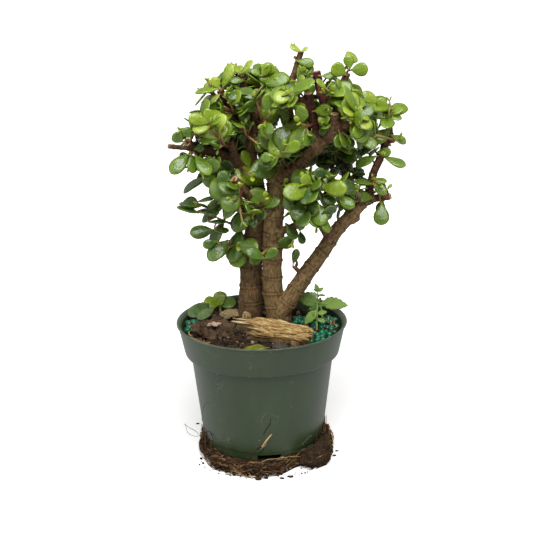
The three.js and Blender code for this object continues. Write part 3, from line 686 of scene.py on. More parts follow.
def ringPlaces(one, number):  # leaf scars ring the limb, a little unevenly
    places, along, k = [], 0.4 * one["spacing"], 0
    while along < one["curve"]["length"] - 2:
        places.append(along)
        k += 1
        along += one["spacing"] * (0.8 + 0.4 * draw(number * 31 + k))
    return places


def growTrunk(node, stations):
    parts = []
    for name, one in limbs.items():
        if one["node"] == node:
            stout, shift = trunk["stout"].get(name, (1, (0, 0, 0)))
            parts.append(tube([p + vec(shift) for p in one["line"]], [r * stout for r in one["radii"]],
                              trunk["sides"]))
    for place, radius in knuckles[node]:
        parts.append(lump(place, (radius, radius, radius * 1.1), 3, 0.5, place[0]))
    piece = soften(meshPiece(node + "_bark", parts), trunk["voxel"], trunk["soften"])
    places, normals = vertexPlaces(piece.data)
    tree = kdtree.KDTree(len(stations))
    for i, station in enumerate(stations):
        tree.insert(Vector(station["place"]), i)
    tree.balance()
    rings, carriers = {}, {}
    # what a limb grows from lends it its bark at the start
    for number, (name, one) in enumerate(limbs.items()):
        start, others = one["line"][0], [s for s in stations if s["limb"] is not one]
        near = min(others, key=lambda s: np.linalg.norm(s["place"] - start) - s["radius"])
        onIt = np.linalg.norm(near["place"] - start) < near["radius"] + 1 and start[2] > trunk["branchesFrom"]
        rings[name], carriers[name] = ringPlaces(one, number), near if onIt else None
    rows = []
    for place, normal in zip(places, normals):
        near = tree.find_n(Vector(place), 6)
        station = stations[min(near, key=lambda hit: hit[2] - stations[hit[1]]["radius"])[1]]
        rows.append(barkAt(place, normal, station, rings[station["limb"]["name"]],
                           carriers[station["limb"]["name"]]))
    lifts, *values = zip(*rows)
    setPlaces(piece.data, places + normals * np.array(lifts)[:, None])
    for key, numbers in zip(("barkCoord", "barkYoung", "barkDark", "barkScar", "barkCut", "barkWound"),
                            values):
        setValues(piece.data, key, numbers)
    return piece


def lump(place, radii, detail, amount, key=0.0, size=0.7, turn=0.0):  # a rounded uneven body
    points, faces = geodesic(detail)
    c, s = math.cos(turn), math.sin(turn)
    shaped = []
    for p in points:
        grown = p * (1 + 0.3 * amount * rough(p, size, key) + 0.12 * amount * rough(p, size / 3, key))
        x, y, z = grown * vec(radii)
        shaped.append((place[0] + c * x - s * y, place[1] + s * x + c * y, place[2] + z))
    return shaped, faces, {}


def geodesic(detail):  # a sphere of even triangles, split detail times
    golden = (1 + 5 ** 0.5) / 2
    points = [unit(vec(p)) for p in (
        (-1, golden, 0), (1, golden, 0), (-1, -golden, 0), (1, -golden, 0), (0, -1, golden), (0, 1, golden),
        (0, -1, -golden), (0, 1, -golden), (golden, 0, -1), (golden, 0, 1), (-golden, 0, -1),
        (-golden, 0, 1))]
    faces = [(0, 11, 5), (0, 5, 1), (0, 1, 7), (0, 7, 10), (0, 10, 11), (1, 5, 9), (5, 11, 4), (11, 10, 2),
             (10, 7, 6), (7, 1, 8), (3, 9, 4), (3, 4, 2), (3, 2, 6), (3, 6, 8), (3, 8, 9), (4, 9, 5),
             (2, 4, 11), (6, 2, 10), (8, 6, 7), (9, 8, 1)]
    for _ in range(detail):
        middle = {}
        split = []

        def between(a, b):
            key = (min(a, b), max(a, b))
            if key not in middle:
                middle[key] = len(points)
                points.append(unit(points[a] + points[b]))
            return middle[key]

        for a, b, c in faces:
            ab, bc, ca = between(a, b), between(b, c), between(c, a)
            split += [(a, ab, ca), (b, bc, ab), (c, ca, bc), (ab, bc, ca)]
        faces = split
    return points, faces


# how far the bark stands out at a place, and how it looks there
def barkAt(place, normal, station, rings, carrier):
    one, radius = station["limb"], station["radius"]
    out = place - station["place"]
    angle = math.atan2(out.dot(station["second"]), out.dot(station["first"]))
    along = station["along"] + out.dot(station["ahead"])
    coord = (radius * math.cos(angle), radius * math.sin(angle), along + 97 * station["number"])
    gap = min((along - ring for ring in rings), key=abs, default=99)
    gap += 0.5 * math.sin(2 * angle + station["number"])
    own = smoothstep(0.8 * carrier["radius"], 1.9 * carrier["radius"], along) if carrier else 1
    other = one if own == 1 else carrier["limb"]
    young, dark = (other[key] * (1 - own) + one[key] * own for key in ("young", "dark"))
    wound = 0.0
    if one["name"] == "trunkLeft":
        away = (place - vec(trunk["wound"])) / (1, 1, 0.6)
        wound = math.exp(-np.sum(away ** 2) / trunk["woundReach"] ** 2)
    fissure = rough((coord[0] * 2.6, coord[1] * 2.6, coord[2] * 0.45), 3.2)
    fissure += 0.6 * rough((coord[0] * 2.6, coord[1] * 2.6, coord[2] * 0.8), 1.4, 3)
    lift = trunk["fissureDepth"] * (1 - 0.75 * young) * fissure * min(radius / 7, 1)
    lift += trunk["lumpDepth"] * rough(place, trunk["lumpSize"]) * radius / 8
    swell = math.exp(-(gap / trunk["ringWidth"]) ** 2) * trunk["ringHeight"] * radius / 7
    groove = math.exp(-((gap - 1.1) / 0.7) ** 2) * trunk["ringGroove"] * radius / 7
    fromEnd, cut = one["curve"]["length"] - along, 0
    if one["cut"] != "" and fromEnd < 0.9 and normal.dot(station["ahead"]) > 0.35:  # the sawn face
        middle = np.linalg.norm(out - station["ahead"] * out.dot(station["ahead"])) / radius
        lift, cut = -0.35 * (1 - middle) + 0.15 * rough(place, 0.9), 1 + middle
        if one["cut"] in ("hollow", "dark"):
            lift -= 1.6 * (1 - smoothstep(0.35, 0.65, middle))
    else:
        lift += swell - groove + 0.9 * wound * rough((place[0] * 0.4, place[1] * 0.4, place[2]), 1.6, 5)
    return lift, coord, young, dark, math.exp(-((gap - 1.0) / 0.75) ** 2), cut, wound


def barkMaterial(tree):
    coord = attribute(tree, "barkCoord", "Vector")
    young, dark, scar, cut, wound = (attribute(tree, "bark" + key)
                                     for key in ("Young", "Dark", "Scar", "Cut", "Wound"))
    cracks, height = (useGroup(tree, fibres, {"Vector": coord, "Across": 0.95, "Along": 0.2,
                                              "Contrast": 0.16}, output)
                      for output in ("Mask", "Height"))
    flakes = cloud(tree, 0.28, 0.42, 0.62, coord)
    old = layered(tree, ramp(tree, cracks, (0, (60, 42, 22)), (0.35, (112, 87, 50)), (1, (166, 141, 98))),
                  (cloud(tree, 55, 0.4, 0.65), 0.45, (108, 80, 42)), (flakes, 0.3, (186, 158, 110)))
    fresh = ramp(tree, flakes, (0, (70, 24, 22)), (0.55, (94, 42, 32)), (1, (124, 82, 50)))
    # painted shade: a limb with a high dark value is multiplied darker, partly for its own bark tone and
    # partly for the shade it lies in within the crown
    colour = mixColour(tree, 1.0, mixColour(tree, young, old, fresh), ramp(tree, dark, (0, 1), (1, 0.42)),
                       "MULTIPLY")
    # darker towards the foot of the trunks, over the lowest millimetres above the soil
    darkFoot = ramp(tree, times(tree, axisOf(tree, objectCoords(tree), 2), 5), (0.62, 0.85), (0.7, 0))
    healed = ramp(tree, cracks, (0, (86, 54, 30)), (0.5, (140, 98, 62)), (1, (184, 146, 104)))
    # the leaf-scar ring is dark partly as its own colour and partly as painted shade in the ring's groove
    colour = layered(tree, colour, (scar, ramp(tree, cracks, (0, 0.85), (1, 0.5)), (44, 29, 17)),
                     (darkFoot, 1, (74, 50, 28)), (wound, 0.75, healed))
    wood = ramp(tree, maths(tree, "SUBTRACT", cut, 1, True), (0, (60, 40, 26)), (0.3, (160, 122, 80)),
                (0.75, (206, 176, 128)), (1, (108, 72, 46)))
    colour = mixColour(tree, times(tree, cut, 10, True), colour, wood)
    return skinInputs(tree, colour, ramp(tree, young, (0, 0.88), (1, 0.5)), 0.35, height, 0.0011, 0.75)


bark = newMaterial("jade_bark", barkMaterial)
stationsOf = limbStations()
for node in ("trunk_left", "trunk_right"):
    piece = growTrunk(node, stationsOf[node])
    handOver(piece, "bark", node, skin=bark)
    print(piece.name, "grown:", len(piece.data.polygons), "faces")


# leafy sprays
foliage = {"growth": 1.04, "swell": 1.16, "spurs": 4, "spurLength": 11, "spurPairs": 2, "spurClear": 1.5,
           "spurFrom": 232, "outside": 1, "heart": (22, 12, 295), "heartReach": 85,
           "innerSpacing": 7.5, "innerFrom": 222, "innerLength": 15, "innerSize": 14, "innerShade": -0.34,
           "aspect": 0.76, "thickness": 0.15, "internode": 8.5, "bud": 1.8, "tilt": 8, "tiltRise": 34,
           "tiltDraw": 12, "turnDraw": 24, "taper": 0.22, "leafClear": 4.1, "bodyClear": 1.3,
           "stemClear": 3.9, "limbClear": 2.8, "droop": 0.1, "shootRadius": 1.5, "forkRadius": 1.3,
           "tipRadius": 0.85, "canopyAxis": (20, 15), "forkAt": 0.4}

# Each spray: the limb that carries it, how far along it, pairs of leaves, leaf length, and its shoots' tips
sprays = [
    ("crownLeft", 0.94, 4, 17, (-45, -1, 359), (-24, 14, 368)),
    ("crownBack", 0.93, 2, 17, (-20, 26, 373)),
    ("crownBack", 0.50, 3, 17, (-8, 46, 357), (-24, 42, 350), (-24, 62, 333)),
    ("trunkLeftTop", 0.93, 4, 17, (6, 20, 367), (18, 30, 361)),
    ("trunkLeftTop", 0.66, 3, 20, (11, -26, 333), (-3, -16, 346)),
    ("trunkLeftTop", 0.46, 3, 16, (-13, -12, 322), (-1, -14, 304)),
    ("crownLeft", 0.62, 3, 18, (-25, -14, 341), (-47, 14, 335)),
    ("armFore", 0.93, 4, 19, (-35, -30, 321), (-51, -24, 330)),
    ("armLeft", 0.72, 3, 18, (-69, -20, 318)),
    ("armLeft", 0.80, 3, 20, (-69, -16, 283), (-51, -18, 279)),
    ("armLeft", 0.45, 4, 18, (-52, 34, 327)),
    ("armBack", 0.62, 3, 18, (-37, 62, 276), (-70, 60, 259), (-62, 66, 291)),
    ("armFore", 0.30, 3, 22, (-6, -30, 277)),
    ("armCut", 0.35, 3, 22, (6, -28, 257)),
    ("armCut", 0.75, 2, 22, (-26, -40, 258), (-16, -26, 234)),
    ("trunkLeft", 0.70, 4, 19, (-59, 8, 242)),
    ("trunkLeft", 0.63, 3, 21, (-38, -2, 199), (-21, -6, 206)),
    ("trunkMid", 0.62, 1, 15, (2, -14, 200)),
    ("armRight", 0.30, 3, 20, (23, -36, 306)),
    ("stubDark", 0.45, 4, 21, (36, -42, 327)),
    ("stubLow", 0.80, 4, 19, (30, -36, 350)),
    ("spire", 0.93, 2, 12, (32, 9, 389)),
    ("spire", 0.74, 3, 20, (43, -8, 360)),
    ("stubRed", 0.50, 4, 19, (66, -26, 351)),
    ("crownRight", 0.95, 3, 18, (83, -10, 376)),
    ("crownRight", 0.45, 4, 21, (82, 8, 340)),
    ("stubRight", 0.93, 4, 20, (86, -44, 336)),
    ("armOuter", 0.95, 3, 18, (122, 18, 337)),
    ("armRear", 0.95, 3, 20, (106, 34, 332), (91, 66, 322)),
    ("armOuter", 0.72, 3, 18, (131, 12, 303), (104, -2, 309), (117, 2, 292)),
    ("armRear", 0.65, 3, 19, (69, 22, 294)),
    ("twigRear", 0.85, 3, 18, (60, 66, 281), (90, 84, 276)),
    ("twigFront", 0.95, 3, 22, (51, -30, 271), (70, -22, 264)),
    ("twigFront", 0.68, 3, 20, (32, -26, 243), (58, -28, 238)),
    ("twigFront", 0.30, 2, 18, (30, -7, 208)),
    ("trunkRight", 0.93, 4, 18, (90, -12, 259)),
    ("armOuter", 0.25, 3, 17, (112, 0, 262), (115, 6, 236)),
    ("twigLow", 0.95, 1, 14, (32, 3, 192)),
    ("trunkLeftTop", 0.50, 3, 19, (3, 60, 312), (-21, 62, 298), (-14, 66, 262)),
    ("armRight", 0.55, 3, 19, (51, 40, 311), (32, 56, 283), (44, 62, 333)),
]
# Leaves that the photograph shows whole: its pixels at the root and the tip, apparent width, lean towards the
# viewer, and shade from dark 0 to bright 1, which holds the painted shade each leaf lies in as well as its
# own tone
shownLeaves = [
    (301, 52, 290, 45, 6, 0.2, 1.0), (301, 52, 308, 47, 4, 0.2, 1.0), (297, 61, 314, 64, 10, 0.1, 0.55),
    (223, 88, 231, 64, 11, 0.3, 0.9), (242, 74, 228, 64, 7, 0.2, 1.0), (242, 74, 252, 60, 6, 0.2, 1.0),
    (219, 89, 213, 77, 10, 0.3, 0.95), (218, 89, 195, 92, 6, 0.1, 0.8), (244, 81, 229, 80, 8, 0.2, 0.45),
    (260, 76, 251, 70, 6, 0.2, 0.7), (261, 77, 270, 64, 10, 0.2, 0.75), (270, 75, 276, 66, 5, 0.2, 0.8),
    (262, 85, 289, 77, 15, 0.2, 0.6), (291, 93, 314, 80, 10, 0.3, 0.7), (321, 76, 335, 76, 7, 0.1, 0.6),
    (346, 75, 332, 66, 15, 0.3, 0.85), (350, 69, 348, 55, 11, 0.2, 0.8), (351, 70, 368, 69, 14, 0.3, 0.75),
    (327, 95, 350, 91, 9, 0.3, 0.75), (357, 113, 345, 86, 8, 0.3, 0.8), (314, 111, 332, 110, 13, 0.3, 0.75),
    (326, 89, 317, 79, 6, 0.2, 0.85), (379, 105, 362, 93, 12, 0.3, 0.9), (387, 109, 378, 99, 11, 0.3, 0.9),
    (388, 115, 403, 108, 7, 0.2, 0.85), (388, 117, 402, 118, 6, 0.2, 0.8),
    (391, 109, 364, 108, 6, 0.3, 0.8), (390, 129, 375, 142, 13, 0.3, 0.75),
    (390, 135, 406, 143, 8, 0.2, 0.6), (359, 136, 376, 147, 11, 0.3, 0.65),
    (377, 152, 391, 152, 10, 0.3, 0.7), (376, 156, 356, 166, 10, 0.2, 0.6),
    (384, 157, 406, 165, 9, 0.2, 0.6), (339, 131, 346, 147, 6, 0.2, 0.7),
    (282, 116, 260, 116, 17, 0.3, 0.75), (283, 127, 286, 110, 10, 0.3, 0.9),
    (281, 128, 309, 124, 15, 0.4, 0.85), (209, 123, 189, 117, 13, 0.4, 0.9),
    (210, 123, 207, 109, 11, 0.4, 0.9), (201, 136, 227, 129, 16, 0.4, 0.9),
    (234, 127, 228, 104, 11, 0.3, 0.75), (243, 146, 242, 130, 10, 0.2, 0.4),
    (256, 136, 261, 152, 11, 0.2, 0.5), (270, 138, 278, 155, 15, 0.4, 0.8),
    (284, 152, 300, 143, 13, 0.4, 0.8), (183, 142, 173, 134, 12, 0.2, 0.35),
    (191, 138, 184, 128, 11, 0.2, 0.4), (194, 149, 204, 147, 9, 0.2, 0.35),
    (188, 155, 171, 173, 15, 0.3, 0.5), (191, 155, 193, 173, 10, 0.2, 0.55),
    (195, 155, 210, 174, 14, 0.3, 0.65), (208, 176, 183, 192, 7, 0.1, 0.25),
    (197, 202, 214, 197, 4, 0.1, 0.35), (199, 206, 179, 203, 5, 0.1, 0.35),
    (199, 213, 177, 206, 6, 0.1, 0.3), (202, 213, 219, 212, 8, 0.1, 0.15),
    (208, 222, 226, 221, 4, 0.1, 0.15), (214, 230, 190, 233, 14, 0.2, 0.25),
    (214, 231, 229, 230, 6, 0.1, 0.25), (217, 241, 203, 246, 10, 0.2, 0.25),
    (228, 240, 209, 260, 16, 0.3, 0.3), (241, 228, 231, 261, 18, 0.3, 0.3),
    (236, 186, 227, 211, 21, 0.3, 0.45), (228, 193, 213, 213, 11, 0.2, 0.3),
    (251, 207, 234, 231, 18, 0.3, 0.4), (250, 168, 243, 151, 11, 0.4, 0.85),
    (264, 184, 236, 171, 18, 0.5, 0.85), (275, 203, 249, 193, 18, 0.4, 0.65),
    (264, 208, 280, 199, 10, 0.2, 0.6), (230, 181, 218, 174, 14, 0.2, 0.2),
    (311, 190, 284, 193, 18, 0.5, 0.85), (312, 184, 301, 177, 12, 0.4, 0.85),
    (321, 187, 346, 189, 18, 0.5, 0.85), (319, 197, 336, 202, 10, 0.2, 0.4),
    (317, 202, 321, 225, 18, 0.4, 0.6), (301, 202, 296, 220, 16, 0.3, 0.3),
    (337, 196, 354, 207, 12, 0.3, 0.55), (373, 198, 354, 195, 12, 0.3, 0.6),
    (373, 184, 354, 181, 5, 0.2, 0.7), (372, 179, 387, 181, 6, 0.2, 0.7),
    (373, 184, 386, 194, 10, 0.3, 0.6), (382, 204, 381, 225, 16, 0.2, 0.5),
    (286, 223, 296, 239, 11, 0.2, 0.35), (300, 231, 303, 244, 8, 0.2, 0.15),
    (293, 264, 297, 249, 8, 0.2, 0.3), (265, 259, 247, 250, 12, 0.3, 0.35),
    (265, 259, 277, 249, 11, 0.3, 0.4), (334, 158, 315, 160, 8, 0.1, 0.1),
    (329, 176, 314, 172, 12, 0.2, 0.1)]
# Stretches of the limbs that show between the leaves
shownLimbs = [("armRight", 0.05, 1), ("trunkMid", 0.55, 1), ("stubDark", 0.3, 1), ("stubRed", 0.6, 1),
              ("spire", 0.7, 1), ("armCut", 0.25, 1), ("armOuter", 0.35, 0.85), ("armLeft", 0.35, 1),
              ("stubOrange", 0.2, 1), ("stubRing", 0.3, 1), ("stubUp", 0.4, 1), ("stubRight", 0.3, 1),
              ("crownLeft", 0.7, 1), ("armFore", 0.3, 1), ("trunkLeftTop", 0.2, 0.8), ("trunkRight", 0.5, 1),
              ("crownRight", 0.85, 1), ("stubEnd", 0.2, 1)]
# The crown's outline in the photograph's pixels, and the gaps (x, y, radius) that show the studio through it
crownEdge = [
    (289, 43), (309, 45), (304, 53), (315, 59), (315, 68), (330, 72), (331, 65), (337, 63), (343, 64),
    (345, 57), (350, 54), (363, 62), (368, 74), (352, 74), (351, 82), (359, 97), (362, 92), (386, 97),
    (403, 107), (403, 119), (392, 124), (407, 143), (392, 142), (391, 151), (407, 166), (401, 169),
    (384, 161), (379, 173), (387, 175), (392, 184), (392, 199), (384, 203), (390, 216), (385, 225),
    (374, 223), (373, 212), (378, 204), (360, 212), (304, 290), (239, 290), (239, 262), (230, 263),
    (225, 257), (213, 261), (207, 255), (210, 249), (202, 246), (203, 240), (191, 239), (188, 231),
    (194, 223), (204, 222), (195, 214), (175, 208), (177, 202), (194, 201), (214, 195), (216, 199),
    (212, 188), (208, 181), (184, 193), (182, 190), (203, 176), (188, 172), (177, 175), (169, 169),
    (170, 160), (179, 153), (167, 149), (168, 144), (180, 145), (172, 139), (172, 133), (180, 127),
    (180, 121), (184, 114), (195, 104), (203, 96), (208, 99), (214, 94), (194, 93), (206, 85), (207, 79),
    (214, 73), (219, 77), (225, 63), (233, 62), (240, 67), (243, 60), (252, 58), (252, 62), (246, 69),
    (259, 70), (262, 64), (271, 62), (276, 65), (283, 71), (290, 78), (295, 66), (294, 57), (299, 53)]
crownGaps = [(305, 148, 4), (233, 169, 3), (316, 167, 4), (339, 172, 3), (378, 118, 3.5), (366, 176, 3),
             (311, 231, 8), (315, 238, 5), (304, 251, 10), (287, 252, 6), (205, 185, 5), (199, 199, 3),
             (216, 216, 3), (269, 154, 2)]
# Half outline of a leaf as (along, across), where it must stay clear of its neighbours
leafSamples = [(0.28, 0), (0.45, -0.75), (0.45, 0), (0.45, 0.75), (0.66, -1), (0.66, -0.35), (0.66, 0.35),
               (0.66, 1), (0.86, -0.8), (0.86, 0), (0.86, 0.8), (1, 0)]
# Turn, lean and size of a leaf, tried in this order until it fits
trials = [(0, 0, 1), (14, 0, 1), (-14, 0, 1), (0, 14, 1), (0, -14, 1), (28, 8, 1), (-28, 8, 1), (0, 28, 0.9),
          (40, 0, 0.9), (-40, 0, 0.9), (20, 24, 0.8), (-20, 24, 0.8), (0, -24, 0.8), (0, 10, 0.68)]


def shootCurves(spray):
    name, share, _, _, *tips = spray
    axis, tangent, radius = limbAt(limbs[name], share)
    outward = vec(tips[0]) - axis
    outward = unit(outward - tangent * outward.dot(tangent))
    foot = axis + outward * radius * 0.75
    reach = np.linalg.norm(foot - vec(tips[0]))
    first = bowCurve(foot, foot + outward * foliage["forkAt"] * reach, vec(tips[0]))
    curves = [first]
    for tip in tips[1:]:
        start = first["point"](foliage["forkAt"])
        ahead = first["tangent"](foliage["forkAt"]) * 0.3 * np.linalg.norm(start - vec(tip))
        curves.append(bowCurve(start, start + ahead, vec(tip)))
    return curves


def leafAt(curve, pairs, size, pair, half, seed, turn, lean, scale):
    length = curve["length"]
    step = min(foliage["internode"] / length, 0.75 / pairs)
    place = 1 - foliage["bud"] / length - (pairs - 1 - pair) * step
    rise = pair / (pairs - 1) if pairs > 1 else 0.6
    stem, root = curve["tangent"](place), curve["point"](place)
    turn += seed * 37 + pair * 90 + half * 180 + foliage["turnDraw"] * (draw(seed + pair * 7 + half) - 0.5)
    lean += foliage["tilt"] + foliage["tiltRise"] * rise
    lean += foliage["tiltDraw"] * (draw(seed * 3 + pair * 5 + half) - 0.5)
    direction, normal = splayed(stem, turn, lean)
    light = 0.35 * unit(vec(root[0] - foliage["canopyAxis"][0], root[1] - foliage["canopyAxis"][1], 0))
    normal = normal + 0.7 * (light + vec(0, -0.6, 0.9))
    normal = unit(normal - direction * normal.dot(direction))
    long = foliage["growth"] * size * scale * (1 - foliage["taper"] * rise * rise)
    long *= 0.88 + 0.24 * draw(seed * 5 + pair * 3 + half)
    width = long * foliage["aspect"] * (0.92 + 0.16 * draw(seed * 11 + pair + half * 2))
    return {"root": root, "direction": direction, "normal": normal, "side": np.cross(normal, direction),
            "length": long, "width": width, "rise": rise}


def splayed(stem, azimuth, tilt):  # the direction and the upper side of a leaf, from angles in degrees
    first, azimuth, tilt = sideOf(stem), math.radians(azimuth), math.radians(tilt)
    radial = first * math.cos(azimuth) + np.cross(stem, first) * math.sin(azimuth)
    return radial * math.cos(tilt) + stem * math.sin(tilt), stem * math.cos(tilt) - radial * math.sin(tilt)


def leafPoints(leaf, samples):
    return np.array([leaf["root"] + leaf["direction"] * s * leaf["length"]
                     + leaf["side"] * w * leaf["width"] / 2
                     + leaf["normal"] * leaf["length"] * (0.03 * w * w - foliage["droop"] * s * s)
                     for s, w in samples])


def inCrown(points):  # which of the points show within the photographed crown
    seen = inPhoto(np.array(points))
    x, y = seen[:, :1], seen[:, 1:2]
    start = np.array(crownEdge, float)
    end = np.roll(start, -1, axis=0)
    spans = (start[:, 1] > y) != (end[:, 1] > y)
    slope = (end[:, 0] - start[:, 0]) / (end[:, 1] - start[:, 1] + 1e-6)
    crossed = spans & (x < start[:, 0] + (y - start[:, 1]) * slope)
    gaps = np.array(crownGaps)
    filled = np.hypot(x - gaps[:, 0], y - gaps[:, 1]) > gaps[:, 2]
    return (crossed.sum(axis=1) % 2 == 1) & filled.all(axis=1)


def layLeaves():  # the same clearances decide every leaf's place as on the bare model
    limbPoints, limbReach = [], []
    for one in limbs.values():
        count = math.ceil(one["curve"]["length"] / 4)
        for i in range(count + 1):
            point, _, radius = limbAt(one, i / count)
            limbPoints.append(point)
            limbReach.append(radius * 1.05 + foliage["limbClear"])
    limbPoints, limbReach = np.array(limbPoints), np.array(limbReach)
    routes = [shootCurves(spray) for spray in sprays]
    shares = (0, 0.15, 0.3, 0.45, 0.6, 0.75, 0.9, 1)
    stemPoints = np.array([curve["point"](t) for curves in routes for curve in curves for t in shares])
    stemOwner = np.array([n for n, curves in enumerate(routes) for _ in curves for _ in shares])
    placed, laid = [], []

    def distances(a, b):
        return np.linalg.norm(a[:, None] - b[None], axis=2)

    def bodyOf(leaf, owner, shoot):
        return {"samples": leafPoints(leaf, leafSamples), "middle": leafPoints(leaf, [(0.5, 0)])[0],
                "reach": leaf["length"] * 0.62, "owner": owner, "shoot": shoot, "leaf": leaf}

    def isClear(leaf, owner, shoot, leafClear=foliage["leafClear"], ease=0.0):
        body = bodyOf(leaf, owner, shoot)
        samples = body["samples"]
        if (distances(samples, limbPoints) < limbReach[None] - ease).any():
            return False
        if (distances(samples, stemPoints[stemOwner != owner]) < foliage["stemClear"] - ease).any():
            return False
        for other in placed:
            if np.linalg.norm(body["middle"] - other["middle"]) > body["reach"] + other["reach"] + leafClear:
                continue
            same = other["owner"] == owner and other["shoot"] == shoot
            skip, clear = (2, 0.8 * leafClear) if same else (0, leafClear)
            if (distances(samples[skip:], other["samples"][skip:]) < clear).any():
                return False
        placed.append(body)
        return True

    # pairs of leaves, each by the first trial that fits
    def growLeaves(curve, pairs, size, seed, fits, **marks):
        grown = []
        for pair in range(pairs - 1, -1, -1):
            for half in (0, 1):
                options = (leafAt(curve, pairs, size, pair, half, seed, *trial) for trial in trials)
                leaf = next((one for one in options if fits(one)), None)
                if leaf:
                    leaf.update(key=seed * 17 + pair * 5 + half, **marks)
                    grown.append(leaf)
        return grown

    for number, spray in enumerate(sprays):
        leaves = []
        for shoot, curve in enumerate(routes[number]):
            seed = number * 4 + shoot + 1
            leaves += growLeaves(curve, *spray[2:4], seed, lambda one: isClear(one, number, shoot))
        laid.append({"curves": routes[number], "leaves": leaves, "spurs": []})
    shown, sight = showLeaves(limbPoints, limbReach - foliage["limbClear"], stemPoints, stemOwner, laid)
    bodies = np.concatenate([leafPoints(leaf, leafSamples) for leaf in shown])

    def isSeenThrough(leaf, most):  # it neither hides what shows in the photograph nor cuts a shown leaf
        samples = leafPoints(leaf, leafSamples)
        seen = inPhoto(samples)
        gaps = np.hypot(seen[:, None, 0] - sight[None, :, 0], seen[:, None, 1] - sight[None, :, 1])
        hidden = (gaps < sight[None, :, 3]) & (seen[:, None, 2] < sight[None, :, 2])
        outside = (~inCrown(samples)).sum()
        return (hidden.any(axis=1).sum() <= most and outside <= foliage["outside"] + most
                and not (distances(samples, bodies) < foliage["bodyClear"]).any())

    for spray in laid:
        spray["leaves"] = [leaf for leaf in spray["leaves"] if "shown" in leaf or isSeenThrough(leaf, 2)]
    kept = {id(leaf) for spray in laid for leaf in spray["leaves"]}
    placed = [other for other in placed if id(other["leaf"]) in kept]
    placed += [bodyOf(leaf, -1, 0) for leaf in shown]

    def growSpur(number, foot, stem, length, size, seed, shade):
        if foot[2] < foliage["spurFrom"]:
            return
        side = unit(np.cross(stem, vec(draw(seed + 1) - 0.5, draw(seed + 2) - 0.5, draw(seed + 3) - 0.3)))
        tip = foot + length * (0.6 + 0.7 * draw(seed + 4)) * unit(side + 0.45 * stem + vec(0, 0, 0.3))
        spur = bowCurve(foot, foot + (tip - foot) * 0.5 + stem * 1.5, tip)

        def fits(one):
            return (inBox(leafPoints(one, [(1.1, 0)])[0], 1.5) and isSeenThrough(one, 0)
                    and isClear(one, number, seed, foliage["spurClear"], 1.6))

        grown = growLeaves(spur, foliage["spurPairs"], size, seed, fits, inner=shade)
        if len(grown) > 1:
            laid[number]["spurs"].append((spur, seed))
            laid[number]["leaves"] += grown

    for number, spray in enumerate(sprays):  # then small side shoots fill what room is left
        for shoot, curve in enumerate(routes[number]):
            for k in range(foliage["spurs"]):
                seed = 3000 + number * 16 + shoot * 5 + k
                t = 0.22 + 0.62 * (k + draw(seed)) / foliage["spurs"]
                growSpur(number, curve["point"](t), curve["tangent"](t), foliage["spurLength"],
                         spray[3] * 0.9, seed, 0)
    seed = 7000
    for one in limbs.values():  # and the crown's limbs carry short shoots of their own
        for i in range(int(one["curve"]["length"] / foliage["innerSpacing"])):
            share = (i + 0.5) * foliage["innerSpacing"] / one["curve"]["length"]
            point, stem, radius = limbAt(one, share)
            seed += 9
            if point[2] > foliage["innerFrom"] and share < 0.9:
                number = int(stemOwner[np.argmin(np.linalg.norm(stemPoints - point, axis=1))])
                growSpur(number, point, stem, foliage["innerLength"] + radius, foliage["innerSize"], seed,
                         foliage["innerShade"])
    return laid


def showLeaves(limbPoints, limbRadii, stemPoints, stemOwner, laid):
    # each shown leaf springs from the stem that is nearest to its root in the photograph
    places = np.concatenate([limbPoints, stemPoints])
    radii = np.concatenate([limbRadii, np.full(len(stemPoints), foliage["shootRadius"])])
    seen = inPhoto(places)
    front = seen[:, 2].min()
    shown, sight = [], []
    for number, (x0, y0, x1, y1, width, lean, shade) in enumerate(shownLeaves):
        gaps = np.hypot(seen[:, 0] - x0, seen[:, 1] - y0) + 0.06 * (seen[:, 2] - front)
        best = int(np.argmin(gaps))
        depth = seen[best, 2] - radii[best] - 1.5
        root, tip = fromPhoto(x0, y0, depth), fromPhoto(x1, y1, depth)
        viewer = unit(viewFrom - root)
        tip = tip + viewer * lean * np.linalg.norm(tip - root)
        length = float(np.linalg.norm(tip - root))
        direction = (tip - root) / length
        apparent = width * depth / focal
        across = max(apparent, 0.6 * length)
        towards = unit(viewer - direction * viewer.dot(direction))
        side = np.cross(direction, towards)
        side = side if side[2] > 0 else -side
        share = apparent / across
        normal = unit(towards * share + side * math.sqrt(1 - share * share))
        owner = int(stemOwner[np.argmin(np.linalg.norm(stemPoints - root, axis=1))])
        leaf = {"root": root, "direction": direction, "normal": normal, "side": np.cross(normal, direction),
                "length": length, "width": across, "rise": 0.5, "key": 9000 + number * 3, "shown": shade,
                "stalk": [places[best], (places[best] + root) / 2 - direction * 0.15 * length,
                          root + direction * 0.6]}
        shown.append(leaf)
        laid[owner]["leaves"].append(leaf)
        grid = [(s, w) for s in (0.25, 0.45, 0.65, 0.85) for w in (-0.6, 0, 0.6)]
        sight += [(*place, 2.2) for place in inPhoto(leafPoints(leaf, grid))]
    for name, start, end in shownLimbs:
        one = limbs[name]
        count = max(int((end - start) * one["curve"]["length"] / 3), 2)
        for i in range(count + 1):
            point, _, radius = limbAt(one, start + (end - start) * i / count)
            x, y, depth = inPhoto(point)
            sight.append((x, y, depth - radius, 0.75 * radius * focal / depth))
    return shown, np.array(sight)


